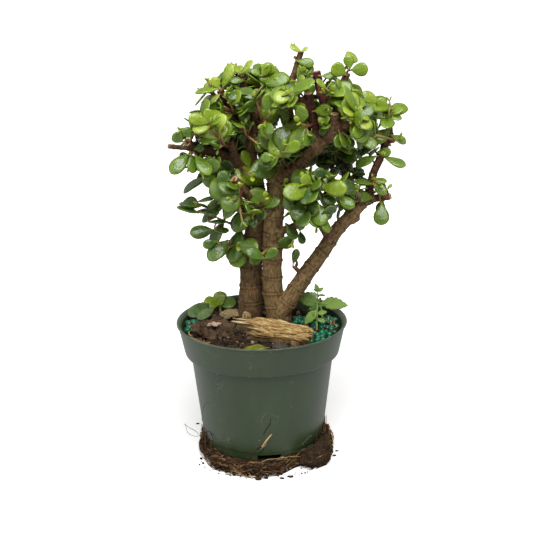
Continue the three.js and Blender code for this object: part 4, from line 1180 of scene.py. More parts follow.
def finishLeaf(leaf):  # each leaf's own bend, thickness and tone (partly how old it is, partly painted shade), within the room that its neighbours leave
    key = leaf["key"]
    height = smoothstep(215, 345, leaf["root"][2])
    leaf["droop"] = 0.04 + 0.12 * draw(key + 0.1)
    leaf["cup"] = -0.02 + 0.1 * draw(key + 0.2)
    leaf["twist"] = 0.07 * (draw(key + 0.3) - 0.5)
    leaf["thickness"] = leaf["length"] * foliage["thickness"] * (0.85 + 0.3 * draw(key + 0.4))
    # painted shade and light: leaves near the crown's heart and on inner shoots are darker, as in the crown's
    # shade; leaves high up are lighter, partly as young growth and partly as painted light from above
    outer = smoothstep(0.35, 1, np.linalg.norm(leaf["root"] - vec(foliage["heart"])) / foliage["heartReach"])
    shade = 0.02 + 0.36 * height + 0.12 * leaf["rise"] + 0.3 * outer + 0.55 * (draw(key + 0.5) - 0.45)
    shade += leaf.get("inner", 0)
    leaf["shade"] = float(np.clip(shade, 0, 1))
    if "shown" in leaf:
        leaf["shade"], leaf["droop"], leaf["twist"] = leaf["shown"], 0.05, 0.02
    tip = leaf["root"] + leaf["direction"] * leaf["length"] * foliage["swell"]
    grow = 1.0 if "inner" in leaf or "shown" in leaf or not inBox(tip, 2) else foliage["swell"]
    leaf["length"] *= grow
    leaf["width"] *= grow
    return leaf


def tipBuds(curve, key, size):  # two tiny leaves close the tip of a shoot
    end, stem, buds = curve["point"](1.0), curve["tangent"](1.0), []
    for half in (0, 1):
        direction, normal = splayed(stem, key * 53 + half * 180, 52 + 14 * draw(key + half))
        length = size * (0.26 + 0.14 * draw(key + half + 5))
        buds.append({"root": end - stem * 0.6, "direction": direction, "normal": normal, "length": length,
                     "width": length * 0.62, "thickness": length * 0.22, "droop": 0.02, "cup": 0.08,
                     "twist": 0.0, "shade": 0.95 + 0.05 * half})
    return [bud for bud in buds if inBox(bud["root"] + bud["direction"] * bud["length"])]


def inBox(point, margin=0.5):
    low, high = (vec(corner) / mm for corner in cadBox)
    return bool(((point > low + margin) & (point < high - margin)).all())


# a stem or fibre through a few points, slimmer at its ends
def smoothLine(route, thickness, tone, spacing=2.4):
    curve = routeCurve(route)
    count = max(int(curve["length"] / spacing), 3)
    points = [curve["point"](curve["timeAt"](i / count)) for i in range(count + 1)]
    widths = [thickness * (0.45 + 0.55 * math.sin(math.pi * (0.12 + 0.76 * i / count)))
              for i in range(count + 1)]
    return points, widths, tone


def twigLine(curve, startRadius, endRadius, spacing, tone):  # a shoot with a swollen joint at every pair
    count = max(int(curve["length"] / 1.3), 6)
    route, widths = [], []
    for i in range(count + 1):
        t = i / count
        joint = ((1 - t) * curve["length"] / spacing) % 1
        swell = 1 + 0.22 * math.exp(-(min(joint, 1 - joint) * spacing / 1.1) ** 2)
        route.append(curve["point"](t))
        widths.append((startRadius + (endRadius - startRadius) * t) * swell)
    widths[-1] *= 0.6
    return route, widths, tone


def withinCrown(route, widths, tone):  # a stem ends where the crown does
    outside = np.flatnonzero(~inCrown(route))
    stop = outside[1] if len(outside) > 1 else len(route)
    return route[:stop], widths[:stop], tone


def leafMaterial(tree):
    shade, along, across = (attribute(tree, name) for name in ("leafShade", "leafAlong", "leafAcross"))
    wide, patches = maths(tree, "ABSOLUTE", across), cloud(tree, 90, 0.35, 0.7)
    rim = maths(tree, "MAXIMUM", maths(tree, "POWER", wide, 5), maths(tree, "POWER", along, 12), True)
    # the leaf's tone from dark to bright follows leafShade: how old the leaf is, together with the painted
    # shade and light laid on in finishLeaf
    ageAndShade = maths(tree, "ADD", shade, times(tree, maths(tree, "SUBTRACT", patches, 0.5), 0.22))
    colour = ramp(tree, ageAndShade, (0, (34, 56, 8)), (0.3, (70, 100, 10)), (0.6, (104, 136, 12)),
                  (0.85, (134, 160, 22)), (1, (170, 186, 60)))
    middle = ramp(tree, wide, (0, 0.55), (0.7, 0))
    colour = layered(
        tree, colour, (middle, ramp(tree, ageAndShade, (0.2, 0.5), (0.9, 0.15)), (44, 96, 34)),
        # the pale rim is partly the leaf's own margin and partly a painted highlight along its edge
        (rim, 0.5, (164, 182, 74)), (ramp(tree, along, (0.02, 1), (0.3, 0)), 0.5, (150, 168, 70)),
        (cloud(tree, 900, 0.3, 0.75), 0.12, (44, 66, 18)), (dots(tree, 520, 0.16, 0.1), 0.5, (72, 84, 40)),
        # the large dark patches are painted shade across the spray, and the large pale patches are a painted
        # sheen
        (cloud(tree, 45, 0.42, 0.7), 0.35, (34, 62, 14)), (cloud(tree, 60, 0.5, 0.75), 0.14, (134, 160, 84)))
    gloss = ramp(tree, patches, (0, 0.24), (1, 0.4))
    return {**skinInputs(tree, colour, gloss, 0.5, grain(tree, 260, 2), 0.0018, 0.5), "Coat Weight": 0.3,
            "Coat Roughness": 0.2, "Subsurface Weight": 0.1, "Subsurface Radius": (0.6, 1.0, 0.2),
            "Subsurface Scale": 0.003}


def twigMaterial(tree):
    along, tone = attribute(tree, "twigAlong"), attribute(tree, "twigTone")
    maroon = mixColour(tree, cloud(tree, 220), (78, 30, 28), (112, 62, 44))
    colour = layered(tree, maroon, (ramp(tree, along, (0.55, 0), (0.95, 1)), 1, (150, 140, 74)),
                     (tone, ramp(tree, along, (0.2, 0), (0.7, 1)), (188, 152, 92)))
    return skinInputs(tree, colour, 0.5, 0.5, grain(tree, 900), 0.0004, 0.5)


jadeLeafStations = [(0.0, 0.12, 0.5), (0.07, 0.2, 0.62), (0.17, 0.44, 0.8), (0.3, 0.71, 0.94),
                    (0.45, 0.92, 1.0), (0.6, 1.0, 0.98), (0.75, 0.96, 0.9), (0.87, 0.78, 0.76),
                    (0.955, 0.47, 0.54), (1.0, 0.13, 0.25)]
jadeLeaf = blankLeaf("jadeLeafBlank", jadeLeafStations, 8)
leafSkin = newMaterial("jade_leaf", leafMaterial)
twigSkin = newMaterial("young_stem", twigMaterial)
canopy = layLeaves()
leafCount = 0
for number, spray in enumerate(canopy):
    name = "spray_%02d" % (number + 1)
    size = sprays[number][3]
    lines, leaves = [], [finishLeaf(leaf) for leaf in spray["leaves"]]
    for shoot, curve in enumerate(spray["curves"]):
        key = number * 4 + shoot + 1
        radius = foliage["forkRadius"] if shoot else foliage["shootRadius"]
        lines.append(twigLine(curve, radius, foliage["tipRadius"], foliage["internode"], draw(key + 0.7)))
        leaves += tipBuds(curve, key, size) if inCrown([curve["point"](1.0)])[0] else []
    for spur, key in spray["spurs"]:
        lines.append(twigLine(spur, foliage["tipRadius"], foliage["tipRadius"] * 0.8, foliage["internode"],
                              0.6))
        leaves += tipBuds(spur, key, size * 0.9)
    for leaf in spray["leaves"]:
        if "stalk" in leaf:
            lines.append(smoothLine(leaf["stalk"], foliage["tipRadius"], 0.5))
    lines = [line for line in (withinCrown(*line) for line in lines) if len(line[0]) > 3]
    leafCount += len(leaves)
    piece = twigsAndLeaves(name + "_leaves", lines, leaves, jadeLeaf, 7, twigSkin, leafSkin)
    handOver(piece, "jade_leaf", name)
print("canopy:", len(canopy), "sprays with", leafCount, "leaves")


# the pot
pot = {"foot": 9, "height": 121, "rim": 82.5, "footRadius": 58.7, "band": 31.3, "bandRadius": 75,
       "bodyRadius": 69.3, "wall": 1.2, "lip": 4.8, "segments": 160, "notchWidth": 22, "notchHeight": 5.4,
       "notchDepth": 14, "notchAzimuth": -84.5, "notchSlope": 0.8, "footGroove": 8}
rimTop = pot["foot"] + pot["height"]
bandFoot = rimTop - pot["band"]


def filleted(corners, steps=5):  # (r, z, fillet radius) corners as a smooth outline
    path = []
    for i, (r, z, fillet) in enumerate(corners):
        here = vec(r, z)
        if not fillet:
            path.append((r, z))
            continue
        before, after = vec(corners[i - 1][:2]), vec(corners[i + 1][:2])
        a, b = unit(before - here), unit(after - here)
        back = fillet / math.tan(math.acos(float(np.clip(a.dot(b), -1, 1))) / 2)
        back = min(back, 0.48 * np.linalg.norm(before - here), 0.48 * np.linalg.norm(after - here))
        for k in range(steps + 1):
            t = k / steps
            near, far = here + a * back, here + b * back
            path.append(tuple(near * (1 - t) ** 2 + here * 2 * t * (1 - t) + far * t * t))
    return path


def addPot():
    foot, rim, wall, body = pot["foot"], pot["rim"], pot["wall"], pot["bodyRadius"]
    groove = foot + pot["footGroove"]
    footAt = pot["footRadius"] + (body - pot["footRadius"]) * (groove - foot) / (bandFoot - foot)
    outline = filleted([
        (0, foot + 2.6, 0), (pot["footRadius"] - 3, foot + 2.6, 0.6), (pot["footRadius"] - 2.2, foot, 0.5),
        (pot["footRadius"] - 0.2, foot, 0.6), (footAt - 0.5, groove - 0.6, 0.3), (footAt + 0.1, groove, 0.3),
        (body, bandFoot + 0.1, 1.2), (pot["bandRadius"] - 0.2, bandFoot + 0.8, 2.6),
        (rim - 1.7, rimTop - 2.1, 0.5), (rim, rimTop - 0.9, 0.3), (rim - 0.1, rimTop, 0.3),
        (rim - 1.6, rimTop, 0.5), (rim - pot["lip"], rimTop - 3, 1.2),
        (pot["bandRadius"] - wall, bandFoot + 1.6, 2.0), (body - wall, bandFoot - wall, 1.0),
        (pot["footRadius"] - 0.6, foot + 4.2, 1.0), (0, foot + 4.2, 0)])
    piece = meshPiece("pot_shell", [lathe(outline, pot["segments"])])
    cutters = []
    for turn in (0, 90, 180, 270):
        middle = math.radians(pot["notchAzimuth"] + turn)
        half, top, slope = pot["notchWidth"] / 2, foot + pot["notchHeight"], pot["notchSlope"]
        ends = (pot["footRadius"] - pot["notchDepth"] / 2, pot["footRadius"] + 8)
        section = ((-half - slope, foot - 2), (half + slope, foot - 2), (half, top), (-half, top))
        c, s = math.cos(middle), math.sin(middle)
        points = [(r * c - y * s, r * s + y * c, z) for r in ends for y, z in section]
        faces = [(3, 2, 1, 0), (4, 5, 6, 7), (0, 1, 5, 4), (1, 2, 6, 5), (2, 3, 7, 6), (3, 0, 4, 7)]
        cutters.append((points, faces, {}))
    cutter = meshPiece("notches", cutters)
    cut = piece.modifiers.new("notches", "BOOLEAN")
    cut.operation, cut.solver, cut.object = "DIFFERENCE", "EXACT", cutter
    applied(piece)
    bpy.data.objects.remove(cutter)
    setSmooth(piece.data)
    piece.data.set_sharp_from_angle(angle=math.radians(38))
    piece.data.materials.clear()
    handOver(piece, "green_plastic", "pot", skin=newMaterial("green_plastic", potMaterial))
    print("pot turned:", len(piece.data.polygons), "faces")


def potMaterial(tree):
    coords = objectCoords(tree)
    level = times(tree, axisOf(tree, coords, 2), 1 / (rimTop * mm))
    smear = useGroup(tree, fibres, {"Vector": coords, "Across": 60.0, "Along": 9.0, "Contrast": 0.3})
    # painted highlight: the rim's top face is painted lighter in patches, where it faces the light from above
    lip = ramp(tree, level, (0.989, 0), (0.992, 1))
    lipHighlight = ramp(tree, cloud(tree, 120, 0.35, 0.6), (0, 0.08), (1, 0.38))
    dust, grime = ramp(tree, level, (0.07, 1), (0.2, 0)), times(tree, cloud(tree, 70, 0.45, 0.7), 0.6)
    colour = layered(
        tree, mixColour(tree, cloud(tree, 14, 0.3, 0.7), (38, 58, 30), (49, 69, 39)),
        (smear, 0.14, (96, 108, 84)), (lip, lipHighlight, (118, 128, 108)), (dust, grime, (98, 100, 74)),
        (useGroup(tree, scuffs, {"Vector": coords}), 0.5, (150, 164, 142)),
        (dots(tree, 260, 0.13, 0.06), 0.6, (170, 176, 150)))
    relief = maths(tree, "ADD", times(tree, grain(tree, 1500, 2), 0.08), grain(tree, 22, 1))
    return {**skinInputs(tree, colour, ramp(tree, smear, (0, 0.3), (1, 0.42)), 0.5, relief, 0.0016, 0.35),
            "Coat Weight": 0.45, "Coat Roughness": 0.28}


def scuffGroup():  # faint arcs and scratches
    tree, given, out = newTree("scuffs", "ShaderNodeTree", [("Vector", "Vector")], [("Mask", "Float")])
    warp = put(tree, "ShaderNodeTexNoise", {"Vector": given["Vector"], "Scale": 16.0, "Detail": 1.0})
    place = made(tree, "ShaderNodeVectorMath", {0: given["Vector"], 1: warp.outputs[1]}, operation="ADD")
    cells = put(tree, "ShaderNodeTexVoronoi", {"Vector": place, "Scale": 9.0}, feature="DISTANCE_TO_EDGE")
    line = ramp(tree, cells.outputs[0], (0.0, 1.0), (0.012, 0.0))
    broken = made(tree, "ShaderNodeTexNoise", {"Vector": given["Vector"], "Scale": 30.0, "Detail": 3.0})
    tree.links.new(times(tree, line, ramp(tree, broken, (0.56, 0.0), (0.68, 1.0))), out["Mask"])
    return tree


scuffs = scuffGroup()
addPot()


# soil and what lies on it
ground = {"level": 121.5, "edge": 76.2, "rings": 56, "segments": 150, "roughness": 2.2, "crumbs": 2600,
          "chunks": 1000}


def soilTop(x, y):
    return (ground["level"] + 1.3 * math.sin(x / 11 + 0.6) * math.cos(y / 9) + 0.7 * math.sin((x + y) / 6)
            + 2.4 * math.exp(-((x - 4) ** 2 + (y - 16) ** 2) / 900)
            + 6.4 * math.exp(-((x + 60) ** 2 + (y - 28) ** 2) / 420))


def soilSurface(x, y):  # the same top with its lumps
    place = (x, y, 0)
    grain = rough(place, 7) + 0.55 * rough(place, 2.6, 4) + 0.3 * rough(place, 1.2, 9)
    return soilTop(x, y) + ground["roughness"] * (grain - 0.5)


def crumbTree():  # crumbs drawn over a surface, each turned and sized at random
    tree, given, out = newTree("crumbs", "GeometryNodeTree", [
        ("Geometry", "Geometry"), ("Crumb", "Object"), ("Density", "Float", 1000.0), ("Seed", "Int", 1),
        ("Smallest", "Float", 0.3), ("Largest", "Float", 2.0), ("Flatness", "Float", 0.6),
        ("Material", "Material")], [("Geometry", "Geometry")])
    weight = put(tree, "GeometryNodeInputNamedAttribute", {"Name": "crumbShare"}).outputs["Attribute"]
    density = times(tree, given["Density"], weight)
    points = put(tree, "GeometryNodeDistributePointsOnFaces", {
        "Mesh": given["Geometry"], "Density": density, "Seed": given["Seed"]})

    def drawn(low, high, key, kind="FLOAT"):
        first, result = (0, 0) if kind == "FLOAT_VECTOR" else (2, 1)
        values = {"Seed": key, first: low, first + 1: high}
        return put(tree, "FunctionNodeRandomValue", values, data_type=kind).outputs[result]

    size = maths(tree, "POWER", drawn(0.0, 1.0, 5), 2.6)
    spread = maths(tree, "SUBTRACT", given["Largest"], given["Smallest"])
    size = times(tree, maths(tree, "ADD", given["Smallest"], times(tree, size, spread)), mm)
    long = times(tree, size, drawn(0.8, 1.7, 6))
    flat = times(tree, size, drawn(given["Flatness"], 1.0, 7))
    scale = made(tree, "ShaderNodeCombineXYZ", {0: long, 1: size, 2: flat})
    turn = made(tree, "FunctionNodeEulerToRotation", {
        0: drawn((-0.7, -0.7, 0.0), (0.7, 0.7, 6.28), 8, "FLOAT_VECTOR")})
    crumb = put(tree, "GeometryNodeObjectInfo", {"Object": given["Crumb"]}).outputs["Geometry"]
    grown = made(tree, "GeometryNodeInstanceOnPoints", {
        "Points": points.outputs[0], "Instance": crumb, "Rotation": turn, "Scale": scale})
    grown = made(tree, "GeometryNodeStoreNamedAttribute", {
        "Geometry": grown, "Name": "crumbTone", "Value": drawn(0.0, 1.0, 11)},
        data_type="FLOAT", domain="INSTANCE")
    grown = made(tree, "GeometryNodeRealizeInstances", {"Geometry": grown})
    grown = made(tree, "GeometryNodeSetMaterial", {"Geometry": grown, "Material": given["Material"]})
    tree.links.new(grown, out["Geometry"])
    return tree


def soilMaterial(tree):
    colour = layered(tree, mixColour(tree, cloud(tree, 60), (26, 19, 14), (48, 36, 26)),
                     (cloud(tree, 420, 0.35, 0.7), 1, (70, 53, 38)),
                     (dots(tree, 330, 0.2, 0.03), 1, (150, 128, 96)))
    return skinInputs(tree, colour, 0.92, 0.2, grain(tree, 500, 6), 0.0015, 0.9)


def crumbMaterial(tree):
    colour = ramp(tree, attribute(tree, "crumbTone"), (0, (22, 16, 12)), (0.6, (42, 31, 22)),
                  (0.88, (70, 52, 36)), (0.965, (106, 82, 56)), (1, (170, 148, 112)))
    return skinInputs(tree, colour, 0.9, 0.2, grain(tree, 900), 0.0008, 0.7)


def blankCrumb(name, detail, key):
    points, faces, _ = lump((0, 0, 0), (1, 1, 1), detail, 1.6, key, 0.9)
    crumb = meshPiece(name, [(points, faces, {})], smooth=False)
    crumb.data.transform(Matrix.Scale(1 / mm, 4))
    return crumb


def sprinkle(surface, share, density, seed, smallest, largest, material, shape):
    setValues(surface.data, "crumbShare", share)
    return grow(surface, crumbs, {
        "Crumb": shape, "Density": density, "Seed": seed, "Smallest": smallest, "Largest": largest,
        "Material": material})


def copyOf(piece, name):
    return addObject(name, piece.data.copy())


crumbs = crumbTree()
chunkBlank, crumbBlank = blankCrumb("chunkBlank", 1, 3.0), blankCrumb("crumbBlank", 0, 5.0)
soilSkin = newMaterial("potting_soil", soilMaterial)
crumbSkin = newMaterial("soil_crumbs", crumbMaterial)


def addSoil():
    segments, rings, edge = ground["segments"], ground["rings"], ground["edge"]
    points, faces = [(0, 0, soilSurface(0, 0))], []
    for i in range(1, rings + 1):
        radius = edge * i / rings
        for j in range(segments):
            a = j * 2 * math.pi / segments
            x, y = radius * math.cos(a), radius * math.sin(a)
            points.append((x, y, soilSurface(x, y) - 1.2 * smoothstep(edge - 5, edge, radius)))
    body = [(pot["bandRadius"] - pot["wall"] - 1, bandFoot + 8),
            (pot["bodyRadius"] - pot["wall"] - 1.6, bandFoot + 4),
            (pot["footRadius"] - 1.2, pot["foot"] + 4.6)]
    for radius, z in body:
        points += circle(radius, z, segments)
    points.append((0, 0, pot["foot"] + 4.6))
    for j in range(segments):
        k = (j + 1) % segments
        faces.append((0, 1 + j, 1 + k))
        for i in range(rings + len(body) - 1):
            a, b = 1 + i * segments, 1 + (i + 1) * segments
            faces.append((a + k, a + j, b + j, b + k))
        last = 1 + (rings + len(body) - 1) * segments
        faces.append((last + k, last + j, len(points) - 1))
    piece = meshPiece("soil_bed", [(points, faces, {})])
    piece.data.materials.append(soilSkin)
    places, _ = vertexPlaces(piece.data)
    radius = np.hypot(places[:, 0], places[:, 1])
    share = ((places[:, 2] > ground["level"] - 6) & (radius < ground["edge"] - 2.5)).astype(float)
    area = math.pi * (ground["edge"] * mm) ** 2
    loose = [sprinkle(copyOf(piece, name), share, ground[key] / area, seed, *sizes, crumbSkin, shape)
             for name, key, seed, sizes, shape in (("soil_crumbs", "crumbs", 4, (0.4, 1.9), crumbBlank),
                                                   ("soil_chunks", "chunks", 11, (0.7, 3.0), chunkBlank))]
    handOver(piece, "potting_soil", "soil")
    for crumbPiece in loose:
        handOver(crumbPiece, "potting_soil")
    print("soil:", sum(len(crumbPiece.data.polygons) for crumbPiece in loose), "faces of crumbs")


addSoil()


# the splintered wood chip: strips of grain side by side, each ending where its fibres broke

chip = {"outline": [(-28, -3), (-24, 3), (-10, 4), (2, -3), (27, -5), (38, -14), (48, -34), (45, -48),
                    (34, -53), (15, -43), (-2, -34.5), (-13, -27.5), (-11, -24.5), (-1, -20), (-10, -12)],
        "grain": -26, "strips": 64, "steps": 60, "foot": 119, "top": 131.5, "splinter": 2.4, "ridge": 1.3,
        "splinters": 150, "knobs": [((-15, 5, 131), (4.6, 3.6, 4.8)), ((20, -5, 130.5), (4, 2.6, 3.2))]}


def chipSpan(offset, along, across):  # where the outline starts and ends on one line of the grain
    hits = []
    outline = [vec(p) for p in chip["outline"]]
    for a, b in zip(outline, outline[1:] + outline[:1]):
        da, db = a.dot(across) - offset, b.dot(across) - offset
        if da * db < 0:
            hits.append((a + (b - a) * da / (da - db)).dot(along))
    return min(hits), max(hits)


def addChip():
    turn = math.radians(chip["grain"])
    along, across = vec(math.cos(turn), math.sin(turn)), vec(-math.sin(turn), math.cos(turn))
    sides = [vec(p).dot(across) for p in chip["outline"]]
    low, high = min(sides) + 0.6, max(sides) - 0.6
    rows, steps = chip["strips"], chip["steps"]
    top, bottom, grain = [], [], []
    for i in range(rows + 1):
        share = i / rows
        offset = low + (high - low) * share
        start, end = chipSpan(offset, along, across)
        jag = chip["splinter"] * (rough((offset, 0, 0), 1.1) + 0.8 * rough((offset, 5, 0), 3.5))
        jagEnd = chip["splinter"] * (rough((offset, 9, 0), 1.0, 2) + 0.8 * rough((offset, 14, 0), 3, 2))
        start, end = start + 1.2 + jag, end - 1.2 + jagEnd
        crown = 1 - abs(2 * share - 1) ** 3.0
        for k in range(steps + 1):
            t = k / steps
            place = start + (end - start) * t
            x, y = along * place + across * offset
            ridges = chip["ridge"] * (rough((offset, place * 0.05, 1), 2.4)
                                      + 0.7 * rough((offset, place * 0.08, 5), 0.9))
            ends = 1 - (abs(2 * t - 1) ** 6)
            floor = max(chip["foot"], soilTop(x, y) - 1.5)
            rise = 3.4 + 3.6 * crown * ends + 1.6 * rough((offset, place, 0), 16) + ridges
            step = 2.2 * smoothstep(-0.1, 0.15, rough((offset * 1.6, place * 0.22, 3), 7))
            z = min(soilTop(x, y) + max(rise - step, 1.2), chip["top"])
            top.append((x, y, z))
            bottom.append((x, y, floor))
            grain.append((offset, z, place))
    count = steps + 1
    size = len(top)
    points = top + bottom
    faces = []
    for i in range(rows):
        for k in range(steps):
            a, b = i * count + k, (i + 1) * count + k
            faces.append((a, a + 1, b + 1, b))
            faces.append((size + b, size + b + 1, size + a + 1, size + a))
    rim = ([(i * count, (i + 1) * count) for i in range(rows)]
           + [(rows * count + k, rows * count + k + 1) for k in range(steps)]
           + [((i + 1) * count - 1 + count, (i + 1) * count - 1) for i in reversed(range(rows))]
           + [(k + 1, k) for k in reversed(range(steps))])
    faces += [(a, b, size + b, size + a) for a, b in rim]
    parts = [(points, faces, {"grainCoord": [tuple(g) for g in grain + grain]})]
    for n in range(chip["splinters"]):  # long splinters make the upper skin and the frayed ends
        offset = low + (high - low) * draw(n + 0.31)
        start, end = chipSpan(offset, along, across)
        span, edge = end - start, abs(2 * (offset - low) / (high - low) - 1)
        first = start + span * 0.75 * draw(n + 0.57) - 2.5 if n % 3 else start - 4.5 * draw(n + 0.83)
        last = min(first + span * (0.25 + 0.6 * draw(n + 0.71)), end + 2.5 * draw(n + 0.93))
        if last - first < 6:
            first = last - 6
        thick = 0.6 + 1.5 * draw(n + 0.17) ** 2
        lift = 4.2 + 3.6 * (1 - edge ** 2.5) + 2.8 * (draw(n + 0.43) - 0.5)
        if n % 5 == 0:
            lift -= 2.6 * draw(n + 0.63)
        slope = 1.2 * (draw(n + 0.39) - 0.5)
        route, widths = [], []
        for k in range(10):
            t = k / 9
            place = first + (last - first) * t
            x, y = along * place + across * (offset + 0.5 * math.sin(5 * t + n))
            z = soilTop(x, y) + lift + slope * (t - 0.5) + 0.35 * rough((place, n, 0), 5)
            route.append((x, y, min(z, chip["top"] - 0.3)))
            widths.append(thick * (0.12 + 0.88 * min(t, 1 - t, 0.22) / 0.22)
                          * (1 + 0.25 * rough((place, n, 3), 3)))
        stick, stickFaces, _ = tube(route, widths, 5)
        coords = [((vec(p[0], p[1]).dot(across)), p[2], vec(p[0], p[1]).dot(along) + 31 * n) for p in stick]
        parts.append((stick, stickFaces, {"grainCoord": coords}))
    for place, radii in chip["knobs"]:
        knob, knobFaces, _ = lump(place, radii, 3, 1.2, 4.0, 0.6)
        parts.append((knob, knobFaces,
                      {"grainCoord": [(p[0] * 1.4, 126 + p[1] / 2, p[2] * 4 + 400) for p in knob]}))
    piece = meshPiece("splintered_chip", parts)
    piece.data.set_sharp_from_angle(angle=math.radians(42))
    handOver(piece, "pale_wood", "wood_chip", skin=newMaterial("pale_wood", chipMaterial))
    print("wood chip split:", len(piece.data.polygons), "faces")


def chipMaterial(tree):
    coord = attribute(tree, "grainCoord", "Vector")
    streaks = useGroup(tree, fibres, {"Vector": coord, "Across": 1.1, "Along": 0.05, "Contrast": 0.15})
    height = useGroup(tree, fibres, {"Vector": coord, "Across": 1.6, "Along": 0.06}, "Height")
    colour = ramp(tree, streaks, (0, (70, 44, 22)), (0.28, (142, 106, 58)), (0.62, (192, 158, 100)),
                  (1, (234, 214, 164)))
    leftward = maths(tree, "ADD", times(tree, axisOf(tree, objectCoords(tree), 0), 10), 0.5)
    # painted shade: the chip's lower sides next to the soil are painted dark
    low = ramp(tree, times(tree, axisOf(tree, coord, 1), 1 / 135), (0.922, 1), (0.957, 0))
    colour = layered(tree, colour, (cloud(tree, 70, 0.4, 0.62), 0.45, (124, 104, 58)),
                     (cloud(tree, 150, 0.6, 0.72), 0.6, (66, 46, 30)),
                     (ramp(tree, leftward, (0.24, 0.8), (0.42, 0)), streaks, (238, 222, 180)),
                     (low, 0.85, (54, 36, 20)))
    return skinInputs(tree, colour, 0.85, 0.25, height, 0.0012, 0.8)


addChip()


# clods, stones, prills

def roughen(piece, amount, size, key=0.0, ledge=0.0):
    places, normals = vertexPlaces(piece.data)
    lifts = []
    for place in places:
        coarse = rough(place, size, key)
        if ledge:
            coarse += ledge * round(2.2 * rough(place, size * 1.4, key + 7)) / 2.2
        lifts.append(amount * (coarse + 0.5 * rough(place, size / 2.3, key)
                               + 0.25 * rough(place, size / 5, key)))
    setPlaces(piece.data, places + normals * np.array(lifts)[:, None])
    return piece


def cutBelow(piece, surface):  # what lies on the soil ends just under it
    places, _ = vertexPlaces(piece.data)
    for place in places:
        place[2] = max(place[2], surface(place[0], place[1]))
    setPlaces(piece.data, places)


def clodMaterial(tree):
    colour = layered(tree, mixColour(tree, cloud(tree, 75), (66, 48, 32), (114, 92, 68)),
                     (cloud(tree, 600, 0.3, 0.7), 0.6, (42, 30, 22)),
                     (cloud(tree, 190, 0.52, 0.66), 0.8, (30, 20, 13)),
                     (dots(tree, 260, 0.22, 0.07), 1, (180, 160, 140)))
    return skinInputs(tree, colour, 0.9, 0.25, grain(tree, 420, 6), 0.0016, 0.9)


def stoneMaterial(tree):
    colour = mixColour(tree, cloud(tree, 160), (44, 37, 34), (78, 68, 62))
    return skinInputs(tree, colour, 0.75, 0.5, grain(tree, 700, 5), 0.0008, 0.7)


def flakeMaterial(tree):
    streaks = useGroup(tree, fibres, {
        "Vector": objectCoords(tree), "Across": 700.0, "Along": 200.0, "Contrast": 0.2})
    colour = ramp(tree, streaks, (0, (104, 84, 56)), (0.6, (158, 138, 98)), (1, (186, 168, 126)))
    return skinInputs(tree, colour, 0.85, 0.5, grain(tree, 500, 5), 0.001, 0.8)


def palePatchMaterial(tree):
    return {"Base Color": mixColour(tree, cloud(tree, 300), (140, 112, 88), (196, 170, 146)),
            "Roughness": 0.8}


lumps = {
    "bark_lump": {"node": "bark_clod", "slot": "bark_crumb", "material": "clod_bark", "build": clodMaterial,
                  "voxel": 0.6, "amount": 3.0, "size": 5, "ledge": 1.2, "bodies": [
                      ((-47, -9, 121), (18, 20, 9.4), 0.0), ((-38, -21, 121.5), (11, 10, 6.6), 0.4),
                      ((-55, -2, 122.5), (9, 11, 7), 0.8), ((-45, 7, 124.5), (10, 8, 6.4), 1.2),
                      ((-34, -6, 122), (9, 12, 5.6), 0.2)]},
    "dark_pebble": {"node": "dark_stone", "slot": "dark_stone", "material": "dark_stone",
                    "build": stoneMaterial, "voxel": 0.5, "amount": 0.35, "size": 4, "ledge": 0.3,
                    "bodies": [((17, -59, 123), (7.2, 5.2, 4.2), 0.0)]},
    "tan_flake": {"node": "tan_chip", "slot": "bark_crumb", "material": "tan_flake", "build": flakeMaterial,
                  "voxel": 0.4, "amount": 0.45, "size": 3, "ledge": 0.8, "bodies": [
                      ((-31 + 2.1 * i, 27 + 1.3 * i, 127.4 - 0.35 * abs(i - 1)),
                       (9.5 - 1.1 * abs(i), 1.7, 3.2 + 0.6 * (i % 2)), -0.62 - 0.05 * i)
                      for i in range(-3, 4)]}}


def addLumps():
    for name, one in lumps.items():
        parts = [lump(place, radii, 3, 0.9, place[0], 0.7, turn) for place, radii, turn in one["bodies"]]
        piece = roughen(soften(meshPiece(name, parts), one["voxel"], 2), one["amount"], one["size"], 1.0,
                        one["ledge"])
        cutBelow(piece, lambda x, y: soilTop(x, y) - 2.4)
        handOver(piece, one["slot"], one["node"], skin=newMaterial(one["material"], one["build"]))
    curls = [((-49, -16), 4, 0.6), ((-44.5, -18), 3.6, -0.8), ((-42, -14.5), 3.4, 0.2),
             ((-46, -12.5), 2.6, -0.4)]
    strips = [lump((x, y, 131.2), (long, 1.4, 1.3), 3, 1.5, long, 0.6, turn) for (x, y), long, turn in curls]
    pale = roughen(meshPiece("pale_flake", strips), 0.5, 2)
    handOver(pale, "bark_crumb", skin=newMaterial("pale_flake", palePatchMaterial))
    print("lumps laid")


# Each heap: its middle, how long it is each way and its key; each drift: middle, reach and count
prills = {"radius": 2.8, "perHeap": 10, "apart": 4.3,
          "heaps": [(-70, -4, 4, 9, 3), (40, 12, 8, -6, 21), (68, 14, 8, -6, 40), (55, -36, 3, 6, 60)],
          "drifts": [(42, 8, 12, 12), (66, 6, 11, 10), (60, -28, 14, 14), (-68, -2, 11, 7), (26, -67, 3, 2),
                     (50, -4, 22, 8), (56, -42, 6, 4)]}


def prillMaterial(tree):
    colour = layered(tree, mixColour(tree, cloud(tree, 260, 0.35, 0.7), (0, 80, 54), (8, 116, 82)),
                     (cloud(tree, 500, 0.6, 0.75), 0.35, (30, 56, 42)))
    return skinInputs(tree, colour, 0.24, 0.5, grain(tree, 1200), 0.0002, 0.4)


